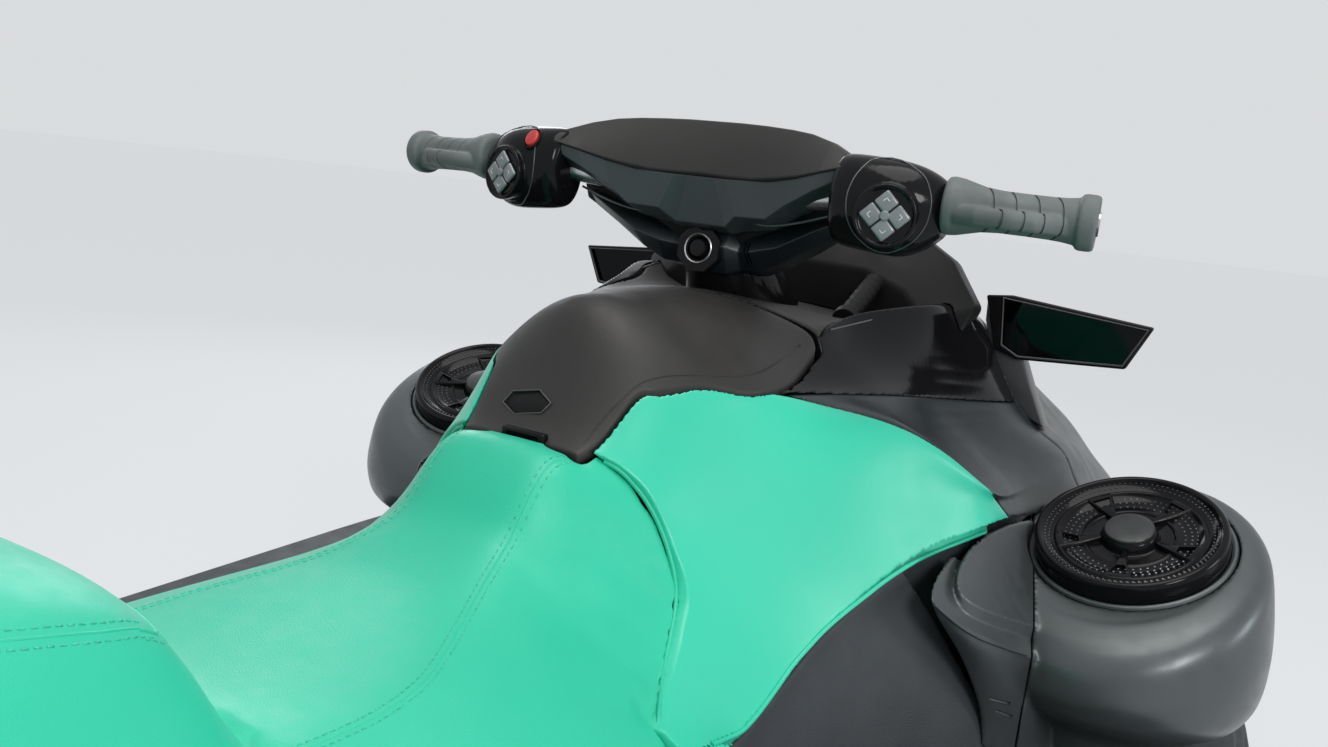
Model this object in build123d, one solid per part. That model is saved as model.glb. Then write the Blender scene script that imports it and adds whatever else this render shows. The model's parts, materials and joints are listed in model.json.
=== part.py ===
from build123d import *
import math
import os

# Three-seat personal watercraft, in millimetres. The bow points along -Y, port is +X and Z is up.
# The origin is on the waterline, on the centreline at half length.

# Overall sizes
LENGTH = 3317.0
BEAM = 1250.0
DRAUGHT = 260.0
KEEL_Z = -DRAUGHT
FIT = 0.3  # running and seating clearance between separate pieces
GAP = 5.0  # open joint line round a piece that moves
SEAM = 0.8  # joint line between fixed panels

# Joint between hull and deck, a plane that rises towards the bow
BOND_Z = 95.0
BOND_SLOPE = 0.045
BUMPER_OUT = 17.0
BUMPER_UNDER = 38.0
BUMPER_OVER = 42.0

# Plan outline of hull and deck
HALF_BEAM = BEAM / 2 - BUMPER_OUT
STERN_Y = LENGTH / 2 - BUMPER_OUT
NOSE_Y = -(LENGTH / 2 - BUMPER_OUT)
STERN_HALF = 545.0
STERN_CORNER = 90.0
WAIST_Y = 900.0  # where the sides start to draw in towards the stern
SHOULDER_Y = -300.0  # where the sides start to curve in towards the bow
NOSE_HALF = 60.0

# The tables below are drawn for this nose and stern. Ahead of the dash and behind the waist their
# stations move with the real ones.
TABLE_END_Y = 1641.5
COWL_Y = -600.0

# Hull bottom sections: y, keel rise, chine half width, chine height, side half width, side height
HULL_TABLE = [
    (1650.0, 8.0, 455.0, -92.0, 560.0, 5.0),
    (900.0, 0.0, 472.0, -90.0, 600.0, 40.0),
    (0.0, 0.0, 468.0, -82.0, 606.0, 75.0),
    (-600.0, 12.0, 420.0, -52.0, 580.0, 100.0),
    (-1100.0, 80.0, 292.0, 12.0, 440.0, 130.0),
    (-1450.0, 215.0, 130.0, 92.0, 235.0, 160.0),
    (-1640.0, 372.0, 30.0, 150.0, 62.0, 172.0),
]
HULL_STATIONS = [1650, 1275, 900, 450, 0, -300, -600, -850, -1100, -1275, -1450, -1550, -1640]
KEEL_FLAT = 34.0
STRAKE_DROP = 14.0  # how far the lifting strake stands below the bottom
CHINE_LIP = 26.0

# Deck
GUNWALE_TOP = 118.0  # above the joint plane
FOOTWELL_FLOOR = 8.0
FOOTWELL_INNER = 250.0
FOOTWELL_OUTER = 500.0
FOOTWELL_FRONT_Y = -270.0
FOOTWELL_FLARE = 130.0  # how far the inner wall stands out at the front
FOOTWELL_FLARE_Y = -20.0
FOOTWELL_REAR_Y = 1190.0
FOOTWELL_CORNER = 90.0
MAT_MARGIN = 6.0
MAT_THICK = 5.0
PLATFORM_DROP = 18.0
GUNWALE_ROUND = 24.0

# Seat plinth, spine under the dash and engine bay
SEAT_FLOOR_Z = 318.0
PLINTH_HALF = 222.0
SEAT_HALF = 234.0
SEAT_BOARD = 12.0
SEAT_FRONT_Y = 142.0
SEAT_REAR_Y = 1120.0
SPINE_HALF = 104.0
SPINE_TOP = 400.0
SPINE_FRONT_Y = -560.0
SPINE_REAR_Y = 110.0
BAY_HALF = 150.0
BAY_FRONT_Y = 125.0
BAY_REAR_Y = 830.0
BAY_FLOOR_Z = -158.0
ENGINE = (280.0, 640.0, 330.0)
ENGINE_Y = 475.0

# Pump tunnel, jet pump and reverse bucket
PUMP_Z = -128.0
PUMP_BORE = 80.0
PUMP_WALL = 15.0
PUMP_FRONT_Y = STERN_Y - 521.5
PUMP_REAR_Y = STERN_Y - 201.5
TUNNEL_HALF = 140.0
TUNNEL_TOP_Z = -30.0
RECESS_HALF = 240.0
RECESS_FRONT_Y = STERN_Y - 281.5
RECESS_TOP_Z = 12.0
INTAKE_HALF = 85.0
INTAKE_FRONT_Y = PUMP_FRONT_Y - 270.0
SHAFT_RADIUS = 15.0
PIN_FIT = 0.05
NOZZLE_PIVOT_Y = STERN_Y - 159.5
NOZZLE_REAR_Y = STERN_Y - 51.5
NOZZLE_RADIUS = 52.0
NOZZLE_BORE = 40.0
BUCKET_Y = STERN_Y - 141.5
BUCKET_INNER = 118.0
BUCKET_WALL = 8.0
BUCKET_HALF = 112.0
BUCKET_PIN = 8.0

# Towing eye
EYE_BORE = 11.0
EYE_RIM = 9.0
EYE_THICK = 14.0
EYE_ROOT = 95.0
EYE_Y = -1592.0
EYE_Z = 10.0

# Steering, about an axis that leans back to the rider
STEER_Y = -300.0
STEER_Z = 660.0
STEER_LEAN = 39.0
BAR_RADIUS = 11.0
BAR_POINTS = [(0.0, -212.0, 762.0), (120.0, -198.0, 765.0), (235.0, -179.0, 774.0), (398.0, -204.0, 771.0)]
GRIP_START = 268.0
GRIP_END = 384.0

# Upper body skin. Each row is y and the crown height, then the half outline (x, z) from the crown down:
# lid edge, wall top, wall foot, flank edge, side, sill, tuck, and the foot's x
BODY_TABLE = [
    (170.0, 515.0, (28, 514), (50, 508), (68, 486), (88, 460), (132, 426), (254, 352), (238, 334), 244.0),
    (75.0, 537.0, (32, 536), (63, 533), (84, 518), (110, 494), (150, 438), (242, 336), (228, 318), 246.0),
    (0.0, 650.0, (52, 630), (93, 590), (112, 560), (138, 508), (176, 440), (241, 350), (228, 332), 248.0),
    (-100.0, 658.0, (92, 634), (146, 588), (158, 576), (190, 526), (220, 470), (256, 398), (242, 380), 262.0),
    (-200.0, 659.0, (116, 640), (147, 617), (178, 578), (240, 560), (272, 500), (296, 448), (280, 428), 326.0),
    (-290.0, 652.0, (130, 642), (155, 648), (200, 572), (312, 500), (322, 488), (330, 466), (312, 442), 384.0),
    (-430.0, 642.0, (142, 638), (202, 661), (222, 558), (306, 480), (320, 462), (328, 446), (312, 422), 420.0),
    (-600.0, 626.0, (140, 622), (200, 643), (262, 545), (322, 498), (348, 462), (366, 430), (352, 406), 424.0),
    (-900.0, 566.0, (124, 560), (186, 548), (262, 498), (312, 448), (350, 408), (378, 368), (374, 344), 420.0),
    (-1200.0, 478.0, (92, 472), (140, 460), (198, 425), (240, 392), (272, 366), (296, 338), (296, 318), 322.0),
    (-1420.0, 402.0, (58, 397), (90, 389), (130, 366), (160, 346), (182, 330), (198, 310), (200, 298), 214.0),
    (-1580.0, 345.0, (26, 342), (42, 338), (58, 330), (70, 321), (79, 312), (86, 302), (87, 296), 92.0),
]
BODY_FOOT_Z = 110.0
SKIN = 10.0


def along(y):
    """Where a station of the tables lies on a craft of this length."""
    if y < COWL_Y:
        return COWL_Y + (y - COWL_Y) * (NOSE_Y - COWL_Y) / (-TABLE_END_Y - COWL_Y)
    if y > WAIST_Y:
        return WAIST_Y + (y - WAIST_Y) * (STERN_Y - WAIST_Y) / (TABLE_END_Y - WAIST_Y)
    return y


def half_mirrored(points):
    """A closed outline from its starboard half, given from the top down."""
    port = [(x, z) for x, z in points]
    starboard = [(-x, z) for x, z in reversed(points) if x > 0]
    return port + starboard


def section(y, outline):
    """A flat face across the craft at one station, from (x, z) points."""
    return Face(Wire.make_polygon([Vector(x, y, z) for x, z in outline], close=True))


def inset(outline, wall):
    """Moves each corner of a convex or nearly convex outline inwards by a wall."""
    count = len(outline)
    moved = []
    for i, (x, z) in enumerate(outline):
        before = outline[i - 1]
        after = outline[(i + 1) % count]
        sides = []
        for start, end in ((before, (x, z)), ((x, z), after)):
            run = math.hypot(end[0] - start[0], end[1] - start[1])
            sides.append(((start[1] - end[1]) / run, (end[0] - start[0]) / run))
        (ax, az), (bx, bz) = sides
        share = wall / max(0.35, 1 + ax * bx + az * bz)
        moved.append((x - share * (ax + bx) * turn(outline), z - share * (az + bz) * turn(outline)))
    return moved


def turn(outline):
    """1 for an outline that runs clockwise seen along -Y, and -1 for the other way."""
    area = 0.0
    for i, (x, z) in enumerate(outline):
        px, pz = outline[i - 1]
        area += px * z - x * pz
    return 1.0 if area < 0 else -1.0


def box_between(x, y, z):
    """A box from three (low, high) pairs."""
    centre = [(lo + hi) / 2 for lo, hi in (x, y, z)]
    return Pos(*centre) * Box(x[1] - x[0], y[1] - y[0], z[1] - z[0])


def pair(shape):
    """A piece and its mirror image on the other side."""
    return [shape, mirror(shape, about=Plane.YZ)]


def side_prism(outline, inner=0.0, outer=800.0):
    """A prism across the port side from a side view outline of (y, z) points."""
    face = Face(Wire.make_polygon([Vector(inner, y, z) for y, z in outline], close=True))
    return extrude(face, amount=outer - inner, dir=(1, 0, 0))


def plan_prism(outline, low, high):
    """A prism upwards from a plan outline of (x, y) points."""
    face = Face(Wire.make_polygon([Vector(x, y, low) for x, y in outline], close=True))
    return extrude(face, amount=high - low, dir=(0, 0, 1))


def plan_symmetric(outline, low, high):
    """A prism from the port half of a plan outline."""
    whole = outline + [(-x, y) for x, y in reversed(outline) if x > 0]
    return plan_prism(whole, low, high)


DECK_FRAME = Location((0, 0, BOND_Z), (-math.degrees(math.atan(BOND_SLOPE)), 0, 0))


def hull_outline():
    """Plan outline of the joint between hull and deck, in the deck's own frame."""
    bow_run = SHOULDER_Y - NOSE_Y
    draw_in = HALF_BEAM - NOSE_HALF
    radius = (draw_in**2 + bow_run**2) / (2 * draw_in)
    mid_y = bow_run * 0.55
    mid_x = HALF_BEAM - radius + math.sqrt(radius**2 - mid_y**2)
    corner = STERN_CORNER * math.sqrt(0.5)
    edges = [
        Line((0, STERN_Y), (STERN_HALF - STERN_CORNER, STERN_Y)),
        ThreePointArc(
            (STERN_HALF - STERN_CORNER, STERN_Y),
            (STERN_HALF - STERN_CORNER + corner, STERN_Y - STERN_CORNER + corner),
            (STERN_HALF, STERN_Y - STERN_CORNER),
        ),
        Line((STERN_HALF, STERN_Y - STERN_CORNER), (HALF_BEAM, WAIST_Y)),
        Line((HALF_BEAM, WAIST_Y), (HALF_BEAM, SHOULDER_Y)),
        ThreePointArc((HALF_BEAM, SHOULDER_Y), (mid_x, SHOULDER_Y - mid_y), (NOSE_HALF, NOSE_Y)),
        Line((NOSE_HALF, NOSE_Y), (0, NOSE_Y)),
    ]
    half = make_face(Wire(edges + [Line((0, NOSE_Y), (0, STERN_Y))]))
    return half + mirror(half, about=Plane.YZ)


def outline_slab(low, high, grow=0.0):
    """The plan outline raised between two heights above the joint plane."""
    face = hull_outline()
    if grow:
        face = offset(face, amount=grow, kind=Kind.ARC)
    return DECK_FRAME * Pos(0, 0, low) * extrude(face, amount=high - low, dir=(0, 0, 1))


def blended(rows, place):
    """Reads a table at any place along its first column, on smooth curves through its rows."""
    keys = [row[0] for row in rows]
    upper = 1
    while upper < len(keys) - 1 and (keys[upper] - place) * (keys[-1] - keys[0]) < 0:
        upper += 1
    low = upper - 1
    span = keys[upper] - keys[low]
    t = (place - keys[low]) / span
    values = []
    for column in range(1, len(rows[0])):
        here = rows[low][column]
        there = rows[upper][column]
        slope_here = gentle_slope(keys, rows, low, column) * span
        slope_there = gentle_slope(keys, rows, upper, column) * span
        start = (2 * t**3 - 3 * t**2 + 1) * here + (t**3 - 2 * t**2 + t) * slope_here
        values.append(start + (3 * t**2 - 2 * t**3) * there + (t**3 - t**2) * slope_there)
    return values


def gentle_slope(keys, rows, index, column):
    """A slope at one row that never lets the curve swing past its neighbours."""
    if index in (0, len(keys) - 1):
        return 0.0 if index else (rows[1][column] - rows[0][column]) / (keys[1] - keys[0])
    before = (rows[index][column] - rows[index - 1][column]) / (keys[index] - keys[index - 1])
    after = (rows[index + 1][column] - rows[index][column]) / (keys[index + 1] - keys[index])
    if before * after <= 0:
        return 0.0
    return 2 * before * after / (before + after)


def flat_rows(table):
    """A table of (x, z) points as plain rows of numbers."""
    rows = []
    for row in table:
        values = []
        for item in row:
            values += list(item) if isinstance(item, tuple) else [item]
        rows.append(values)
    return rows


BODY_STATIONS = [170, 122, 75, 38, 0, -50, -100, -150, -200, -245, -290, -360, -430, -515, -600]
BODY_STATIONS += [-750, -900, -1050, -1200, -1310, -1420, -1510, -1580]
FLANK_STATIONS = [0, -100, -200, -290, -430, -600, -750]


def body_loft(wall=0.0, stations=BODY_STATIONS):
    """The upper body, drawn in by a wall for its inner faces."""
    rows = flat_rows(BODY_TABLE)
    faces = []
    for y in stations:
        values = blended(rows, y)
        points = [(0.0, values[0])]
        points += [(values[i], values[i + 1]) for i in range(1, len(values) - 1, 2)]
        outline = half_mirrored(points + [(values[-1], BODY_FOOT_Z)])
        faces.append(section(along(y), inset(outline, wall) if wall else outline))
    return loft(faces, ruled=True)


def below_bond(depth):
    """Everything within a depth under the joint plane."""
    return DECK_FRAME * Pos(0, 0, -depth / 2) * Box(2 * BEAM, 2 * LENGTH, depth)


def above_deck():
    """Everything above the deck's top plane."""
    return DECK_FRAME * Pos(0, 0, GUNWALE_TOP + LENGTH / 2) * Box(2 * BEAM, 2 * LENGTH, LENGTH)


def bond_height(y):
    """Height of the joint plane at a station."""
    return BOND_Z - BOND_SLOPE * y


def hull_loft():
    """The hull bottom and sides up past the joint plane."""
    faces = []
    for y in HULL_STATIONS:
        rise, chine_x, chine_z, side_x, side_z = blended(HULL_TABLE, y)
        top = bond_height(along(y)) + 30
        points = [(0.0, top), (side_x, top), (side_x, side_z), (chine_x + CHINE_LIP, chine_z + 12)]
        points += [(chine_x, chine_z), (KEEL_FLAT / 2, KEEL_Z + rise)]
        faces.append(section(along(y), half_mirrored(points)))
    return loft(faces, ruled=True)


def cylinder_y(radius, y0, y1, x=0.0, z=0.0):
    """A round bar along the craft."""
    return Pos(x, (y0 + y1) / 2, z) * Rot(90, 0, 0) * Cylinder(radius, y1 - y0)


def cylinder_x(radius, x0, x1, y, z):
    """A round bar across the craft."""
    return Pos((x0 + x1) / 2, y, z) * Rot(0, 90, 0) * Cylinder(radius, x1 - x0)


def cylinder_z(radius, z0, z1, x, y):
    """An upright round bar."""
    return Pos(x, y, (z0 + z1) / 2) * Cylinder(radius, z1 - z0)


def intake_duct():
    """The wedge of water way from the keel up to the pump."""
    low = KEEL_Z - 40
    side = [(INTAKE_FRONT_Y, KEEL_Z + 30), (PUMP_FRONT_Y, PUMP_Z + PUMP_BORE), (PUMP_FRONT_Y, low)]
    return side_prism(side + [(INTAKE_FRONT_Y, low)], -INTAKE_HALF, INTAKE_HALF)


def engine_bay():
    """The bay under the seat."""
    return box_between((-BAY_HALF, BAY_HALF), (BAY_FRONT_Y, BAY_REAR_Y), (BAY_FLOOR_Z, SEAT_FLOOR_Z + 50))


def hull_bottom():
    hull = hull_loft() & below_bond(700)
    hull = hull & outline_slab(-700, 1)
    low = KEEL_Z - 40
    hull -= box_between((-TUNNEL_HALF, TUNNEL_HALF), (PUMP_FRONT_Y, LENGTH), (low, TUNNEL_TOP_Z))
    hull -= box_between((-RECESS_HALF, RECESS_HALF), (RECESS_FRONT_Y, LENGTH), (low, RECESS_TOP_Z))
    hull -= intake_duct()
    hull -= engine_bay()
    hull -= cylinder_y(SHAFT_RADIUS + 7, BAY_REAR_Y - 5, PUMP_FRONT_Y + 5, z=PUMP_Z)
    return hull


def footwell(low, high):
    """The port footwell between two heights above the joint plane."""
    face = Face(Wire.make_polygon([Vector(x, y, 0) for x, y in footwell_plan(0.0)], close=True))
    return DECK_FRAME * Pos(0, 0, low) * extrude(face, amount=high - low, dir=(0, 0, 1))


def footwell_plan(margin):
    """Plan of the port footwell, or of what lies in it with a margin all round."""
    inner = FOOTWELL_INNER + margin
    outer = FOOTWELL_OUTER - margin
    front = FOOTWELL_FRONT_Y + margin
    rear = FOOTWELL_REAR_Y - margin
    flare = FOOTWELL_INNER + FOOTWELL_FLARE
    return [
        (inner, FOOTWELL_FLARE_Y),
        (flare + 0.6 * margin, front),
        (outer - FOOTWELL_CORNER, front),
        (outer, front + FOOTWELL_CORNER),
        (outer, rear),
        (inner, rear),
    ]


def platform_cut():
    """Everything over the swim platform, which lies lower than the gunwales."""
    low = GUNWALE_TOP - PLATFORM_DROP
    span = LENGTH / 2 - FOOTWELL_REAR_Y
    box = Box(2 * BEAM, span, 100)
    return DECK_FRAME * Pos(0, FOOTWELL_REAR_Y + span / 2, low + 50) * box


def deck():
    shell = outline_slab(0, GUNWALE_TOP - GUNWALE_ROUND)
    shell += outline_slab(GUNWALE_TOP - GUNWALE_ROUND, GUNWALE_TOP - 8, grow=-9.0)
    shell += outline_slab(GUNWALE_TOP - 8, GUNWALE_TOP, grow=-20.0)
    shell -= platform_cut()
    for well in pair(footwell(FOOTWELL_FLOOR, GUNWALE_TOP + 50)):
        shell -= well
    plinth = (bond_height(0), SEAT_FLOOR_Z)
    shell += box_between((-PLINTH_HALF, PLINTH_HALF), (SEAT_FRONT_Y, SEAT_REAR_Y), plinth)
    spine = (bond_height(SPINE_FRONT_Y) + 5, SPINE_TOP)
    shell += box_between((-SPINE_HALF, SPINE_HALF), (SPINE_FRONT_Y, SPINE_REAR_Y), spine)
    shell -= engine_bay()
    return shell


def bumper():
    """The port half of the rubber bumper over the joint."""
    band = outline_slab(-BUMPER_UNDER, BUMPER_OVER, grow=BUMPER_OUT - 6)
    band += outline_slab(10 - BUMPER_UNDER, BUMPER_OVER - 10, grow=BUMPER_OUT)
    band -= outline_slab(-BUMPER_UNDER - 5, BUMPER_OVER + 5, grow=FIT)
    return band & box_between((SEAM / 2, BEAM), (-LENGTH, LENGTH), (-LENGTH, LENGTH))


def sponson():
    """The port stabiliser on the side of the hull."""
    outline = [(1400.0, -64.0), (1400.0, -18.0), (820.0, -10.0), (760.0, -34.0), (800.0, -56.0)]
    return Pos(FIT, 0, 0) * (side_prism(outline, 440.0, 600.0) - hull_loft())


def ride_plate():
    low = KEEL_Z + 14
    rear = STERN_Y - 81.5
    plate = box_between((-TUNNEL_HALF, TUNNEL_HALF), (PUMP_FRONT_Y, rear), (low, low + 10))
    for x in (-70.0, 0.0, 70.0):
        plate += box_between((x - 4, x + 4), (PUMP_FRONT_Y + 20, rear - 20), (low - 9, low))
    return plate


def intake_grate():
    low = KEEL_Z + 20
    y0 = INTAKE_FRONT_Y + 10
    y1 = PUMP_FRONT_Y - 4
    grate = box_between((-INTAKE_HALF, INTAKE_HALF), (y0, y1), (low, low + 12))
    grate -= box_between((-INTAKE_HALF + 12, INTAKE_HALF - 12), (y0 + 24, y1 - 14), (low - 1, low + 13))
    for x in (-44.0, -15.0, 15.0, 44.0):
        grate += box_between((x - 4, x + 4), (y0 + 20, y1 - 10), (low, low + 12))
    return grate


def pump_housing():
    z_low = KEEL_Z + 24
    outer = PUMP_BORE + PUMP_WALL
    pump = box_between((-128.0, 128.0), (PUMP_FRONT_Y, PUMP_FRONT_Y + 18), (z_low, TUNNEL_TOP_Z - 4))
    pump += cylinder_y(outer, PUMP_FRONT_Y, PUMP_REAR_Y, z=PUMP_Z)
    pump -= cylinder_y(PUMP_BORE, PUMP_FRONT_Y - 1, PUMP_REAR_Y - 30, z=PUMP_Z)
    pump -= cylinder_y(NOZZLE_BORE + 6, PUMP_REAR_Y - 31, PUMP_REAR_Y + 1, z=PUMP_Z)
    for turn_angle in (0, 60, 120):
        vane = Rot(0, turn_angle, 0) * Box(2 * PUMP_BORE + 4, 70, 6)
        pump += Pos(0, PUMP_REAR_Y - 75, PUMP_Z) * vane
    pump += cylinder_y(30, PUMP_REAR_Y - 112, PUMP_REAR_Y - 34, z=PUMP_Z)
    pump -= cylinder_y(SHAFT_RADIUS + PIN_FIT, PUMP_REAR_Y - 120, PUMP_REAR_Y - 50, z=PUMP_Z)
    arm_in = BUCKET_HALF + GAP
    for side in (-1, 1):
        x0, x1 = sorted((side * arm_in, side * (arm_in + 12)))
        arm = box_between((x0, x1), (PUMP_REAR_Y - 70, BUCKET_Y + 16), (PUMP_Z - 20, PUMP_Z + 20))
        lug0, lug1 = sorted((side * (outer - 12), side * (arm_in + 12)))
        pump += arm
        pump += box_between((lug0, lug1), (PUMP_REAR_Y - 70, PUMP_REAR_Y - 30), (PUMP_Z - 20, PUMP_Z + 20))
        pin0, pin1 = sorted((side * (BUCKET_HALF - 9), side * (arm_in + 6)))
        pump += cylinder_x(BUCKET_PIN, pin0, pin1, BUCKET_Y, PUMP_Z)
    for low, high in ((PUMP_Z + NOZZLE_RADIUS + 6, PUMP_Z + NOZZLE_RADIUS + 16),
                      (PUMP_Z - NOZZLE_RADIUS - 16, PUMP_Z - NOZZLE_RADIUS - 6)):
        tab = box_between((-16.0, 16.0), (PUMP_REAR_Y - 20, NOZZLE_PIVOT_Y + 14), (low, high))
        pump += tab
    for low, high in ((PUMP_Z + NOZZLE_RADIUS - 8, PUMP_Z + NOZZLE_RADIUS + 8),
                      (PUMP_Z - NOZZLE_RADIUS - 8, PUMP_Z - NOZZLE_RADIUS + 8)):
        pump += cylinder_z(6.0, low, high, 0.0, NOZZLE_PIVOT_Y)
    return pump


def steering_nozzle():
    nozzle = cylinder_y(NOZZLE_RADIUS, NOZZLE_PIVOT_Y - 12, NOZZLE_REAR_Y, z=PUMP_Z)
    nozzle -= cylinder_y(NOZZLE_BORE, PUMP_REAR_Y, NOZZLE_REAR_Y + 1, z=PUMP_Z)
    nozzle -= cylinder_z(6.0 + PIN_FIT, PUMP_Z - 100, PUMP_Z + 100, 0.0, NOZZLE_PIVOT_Y)
    return nozzle


def impeller():
    rotor = cylinder_y(28, PUMP_FRONT_Y + 60, PUMP_FRONT_Y + 190, z=PUMP_Z)
    rotor += cylinder_y(SHAFT_RADIUS, ENGINE_Y + ENGINE[1] / 2 + 6, PUMP_REAR_Y - 60, z=PUMP_Z)
    for blade_angle in (0, 120, 240):
        blade = Pos(0, 0, 50) * Rot(0, 0, 48) * Box(10, 120, 52)
        rotor += Pos(0, PUMP_FRONT_Y + 125, PUMP_Z) * Rot(0, blade_angle, 0) * blade
    ring = cylinder_y(PUMP_BORE - 6, PUMP_FRONT_Y + 50, PUMP_FRONT_Y + 200, z=PUMP_Z)
    shaft = cylinder_y(SHAFT_RADIUS, ENGINE_Y + ENGINE[1] / 2 + 6, PUMP_REAR_Y - 60, z=PUMP_Z)
    return (rotor & ring) + shaft


def reverse_bucket():
    """The bucket in its raised place, over the nozzle."""
    outer = cylinder_x(BUCKET_INNER + BUCKET_WALL, -BUCKET_HALF, BUCKET_HALF, BUCKET_Y, PUMP_Z)
    shell = outer - cylinder_x(BUCKET_INNER, -BUCKET_HALF - 1, BUCKET_HALF + 1, BUCKET_Y, PUMP_Z)
    reach = 160.0
    wedge = side_prism(
        [
            (BUCKET_Y, PUMP_Z),
            (BUCKET_Y - reach * 0.50, PUMP_Z + reach),
            (BUCKET_Y + reach * 0.80, PUMP_Z + reach),
            (BUCKET_Y + reach * 1.00, PUMP_Z + reach * 0.42),
        ],
        -BUCKET_HALF,
        BUCKET_HALF,
    )
    bucket = shell & wedge
    for side in (-1, 1):
        x0, x1 = sorted((side * (BUCKET_HALF - 8), side * BUCKET_HALF))
        cheek = (outer & wedge) & box_between((x0, x1), (0, LENGTH), (-LENGTH, LENGTH))
        bucket += cheek
        bucket += cylinder_x(20.0, x0, x1, BUCKET_Y, PUMP_Z)
        bucket -= cylinder_x(BUCKET_PIN + PIN_FIT, x0 - 1, x1 + 1, BUCKET_Y, PUMP_Z)
    return bucket


def engine_block():
    wide, long, tall = ENGINE
    return box_between(
        (-wide / 2, wide / 2),
        (ENGINE_Y - long / 2, ENGINE_Y + long / 2),
        (BAY_FLOOR_Z, BAY_FLOOR_Z + tall),
    )


# Edges of the panels in side view (y, z)
SEAT_EDGE = [(86, 800), (86, 536), (66, 530), (52, 514), (44, 490), (42, 462), (48, 430), (70, 408)]
SEAT_EDGE += [(100, 390), (140, 376), (170, 368)]
FLANK_EDGE = [(-100, 583), (-150, 573), (-200, 558), (-240, 534), (-280, 500), (-320, 475), (-345, 455)]
TUCK_EDGE = [(-345, 435), (-290, 441), (-200, 427), (-100, 379), (0, 331), (75, 317), (170, 333)]
COWL_TUCK = [(-600, 405), (-430, 421)]
BAND_TIP = (-124, 579.7)
WALL_FOOT = [(-100, 583), (-200, 577), (-290, 571), (-430, 557), (-600, 544)]
SKIN_REAR_Y = 170.0

# Lid and dash in plan (x, y)
LID_REAR_Y = 80.0
LID_PLAN = [(62, LID_REAR_Y), (69, 60), (74, 40), (80, 20), (90, 8), (112, -30), (146, -90)]
LID_FRONT_X = 147.0
LID_FRONT_Y = -205.0
LID_HINGE_Y = -204.0
DASH_REAR_Y = LID_FRONT_Y - 9.0
DASH_PLAN = [(147, DASH_REAR_Y), (147, -240), (155, -290), (170, -350), (202, -430), (200, COWL_Y)]
HINGE_REACH = 9.0
HINGE_HALF = 52.0
HINGE_PIN = 3.0
KNUCKLE = 6.5

FRONT_LID_REAR_Y = -660.0
FRONT_LID_FRONT_Y = -1300.0
FRONT_LID_REAR_HALF = 150.0
FRONT_LID_FRONT_HALF = 84.0
FRONT_HINGE_Y = along(FRONT_LID_FRONT_Y) - HINGE_REACH


def crown_height(y):
    """Height of the upper body on the centreline."""
    return blended(flat_rows(BODY_TABLE), y)[0]


def skin():
    """The upper body's shell, standing on the deck."""
    return (body_loft() - body_loft(SKIN)) & above_deck()


def knuckles(y, z):
    """Barrels of a hinge, those of the lid in the middle and the fixed ones with the pin outside."""
    middle = HINGE_HALF / 3
    moving = cylinder_x(KNUCKLE, -middle, middle, y, z)
    moving += box_between((-middle, middle), (y, y + HINGE_REACH + 4), (z - 3, z + 3))
    moving -= cylinder_x(HINGE_PIN + PIN_FIT, -HINGE_HALF, HINGE_HALF, y, z)
    fixed = cylinder_x(HINGE_PIN, -HINGE_HALF, HINGE_HALF, y, z)
    for side in (-1, 1):
        x0, x1 = sorted((side * (middle + 1), side * HINGE_HALF))
        fixed += cylinder_x(KNUCKLE, x0, x1, y, z)
        fixed += box_between((x0, x1), (y - HINGE_REACH - 4, y), (z - 3, z + 3))
    return moving, fixed


def lid_hinge():
    return knuckles(LID_HINGE_Y, crown_height(LID_HINGE_Y) - 10)


def front_hinge():
    return knuckles(FRONT_HINGE_Y, crown_height(FRONT_LID_FRONT_Y - HINGE_REACH) - 6)


def lid_region(grow):
    """Plan of the glovebox lid, made wider by a joint line."""
    points = [(0.0, LID_REAR_Y + grow)]
    points += [(LID_PLAN[0][0] + grow, LID_REAR_Y + grow)]
    points += [(x + grow, y) for x, y in LID_PLAN[1:]]
    front = LID_FRONT_Y - (HINGE_REACH if grow else 0)
    points += [(LID_FRONT_X + grow, front), (0.0, front)]
    return plan_symmetric(points, 300.0, 900.0)


def glovebox_lid(shell):
    lid = shell & lid_region(0.0)
    reach = HINGE_HALF + 4
    lid -= box_between((-reach, reach), (LID_FRONT_Y - 5, LID_HINGE_Y + HINGE_REACH), (500, 800))
    undercut = [(LID_REAR_Y - 14, 480), (LID_REAR_Y - 2, 530), (LID_REAR_Y + 5, 530), (LID_REAR_Y + 5, 480)]
    lid -= side_prism(undercut, -100.0, 100.0)
    return lid + lid_hinge()[0]


def front_lid_region(grow):
    """Plan of the bow storage lid, made wider by a joint line."""
    front = along(FRONT_LID_FRONT_Y) - (2 * HINGE_REACH if grow else 0)
    points = [
        (0.0, along(FRONT_LID_REAR_Y) + grow),
        (FRONT_LID_REAR_HALF + grow, along(FRONT_LID_REAR_Y) + grow),
        (FRONT_LID_FRONT_HALF + grow, front),
        (0.0, front),
    ]
    return plan_symmetric(points, 250.0, 900.0)


def front_lid(shell):
    return (shell & front_lid_region(0.0)) + front_hinge()[0]


def bow_cowl(shell):
    cowl = shell & box_between((-BEAM, BEAM), (-LENGTH, COWL_Y), (0, LENGTH))
    return (cowl - front_lid_region(GAP)) + front_hinge()[1]


def dash_region(grow):
    """Plan of the dash round the steering column."""
    points = [(0.0, DASH_PLAN[0][1] + grow)]
    points += [(x + grow, y) for x, y in DASH_PLAN]
    points += [(0.0, COWL_Y)]
    return plan_symmetric(points, 300.0, 900.0)


def centre_region():
    """Plan of the lid and the dash, with the joint lines round them."""
    return lid_region(GAP) + dash_region(SEAM)


def dash(shell):
    return (shell & dash_region(0.0)) + lid_hinge()[1]


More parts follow.
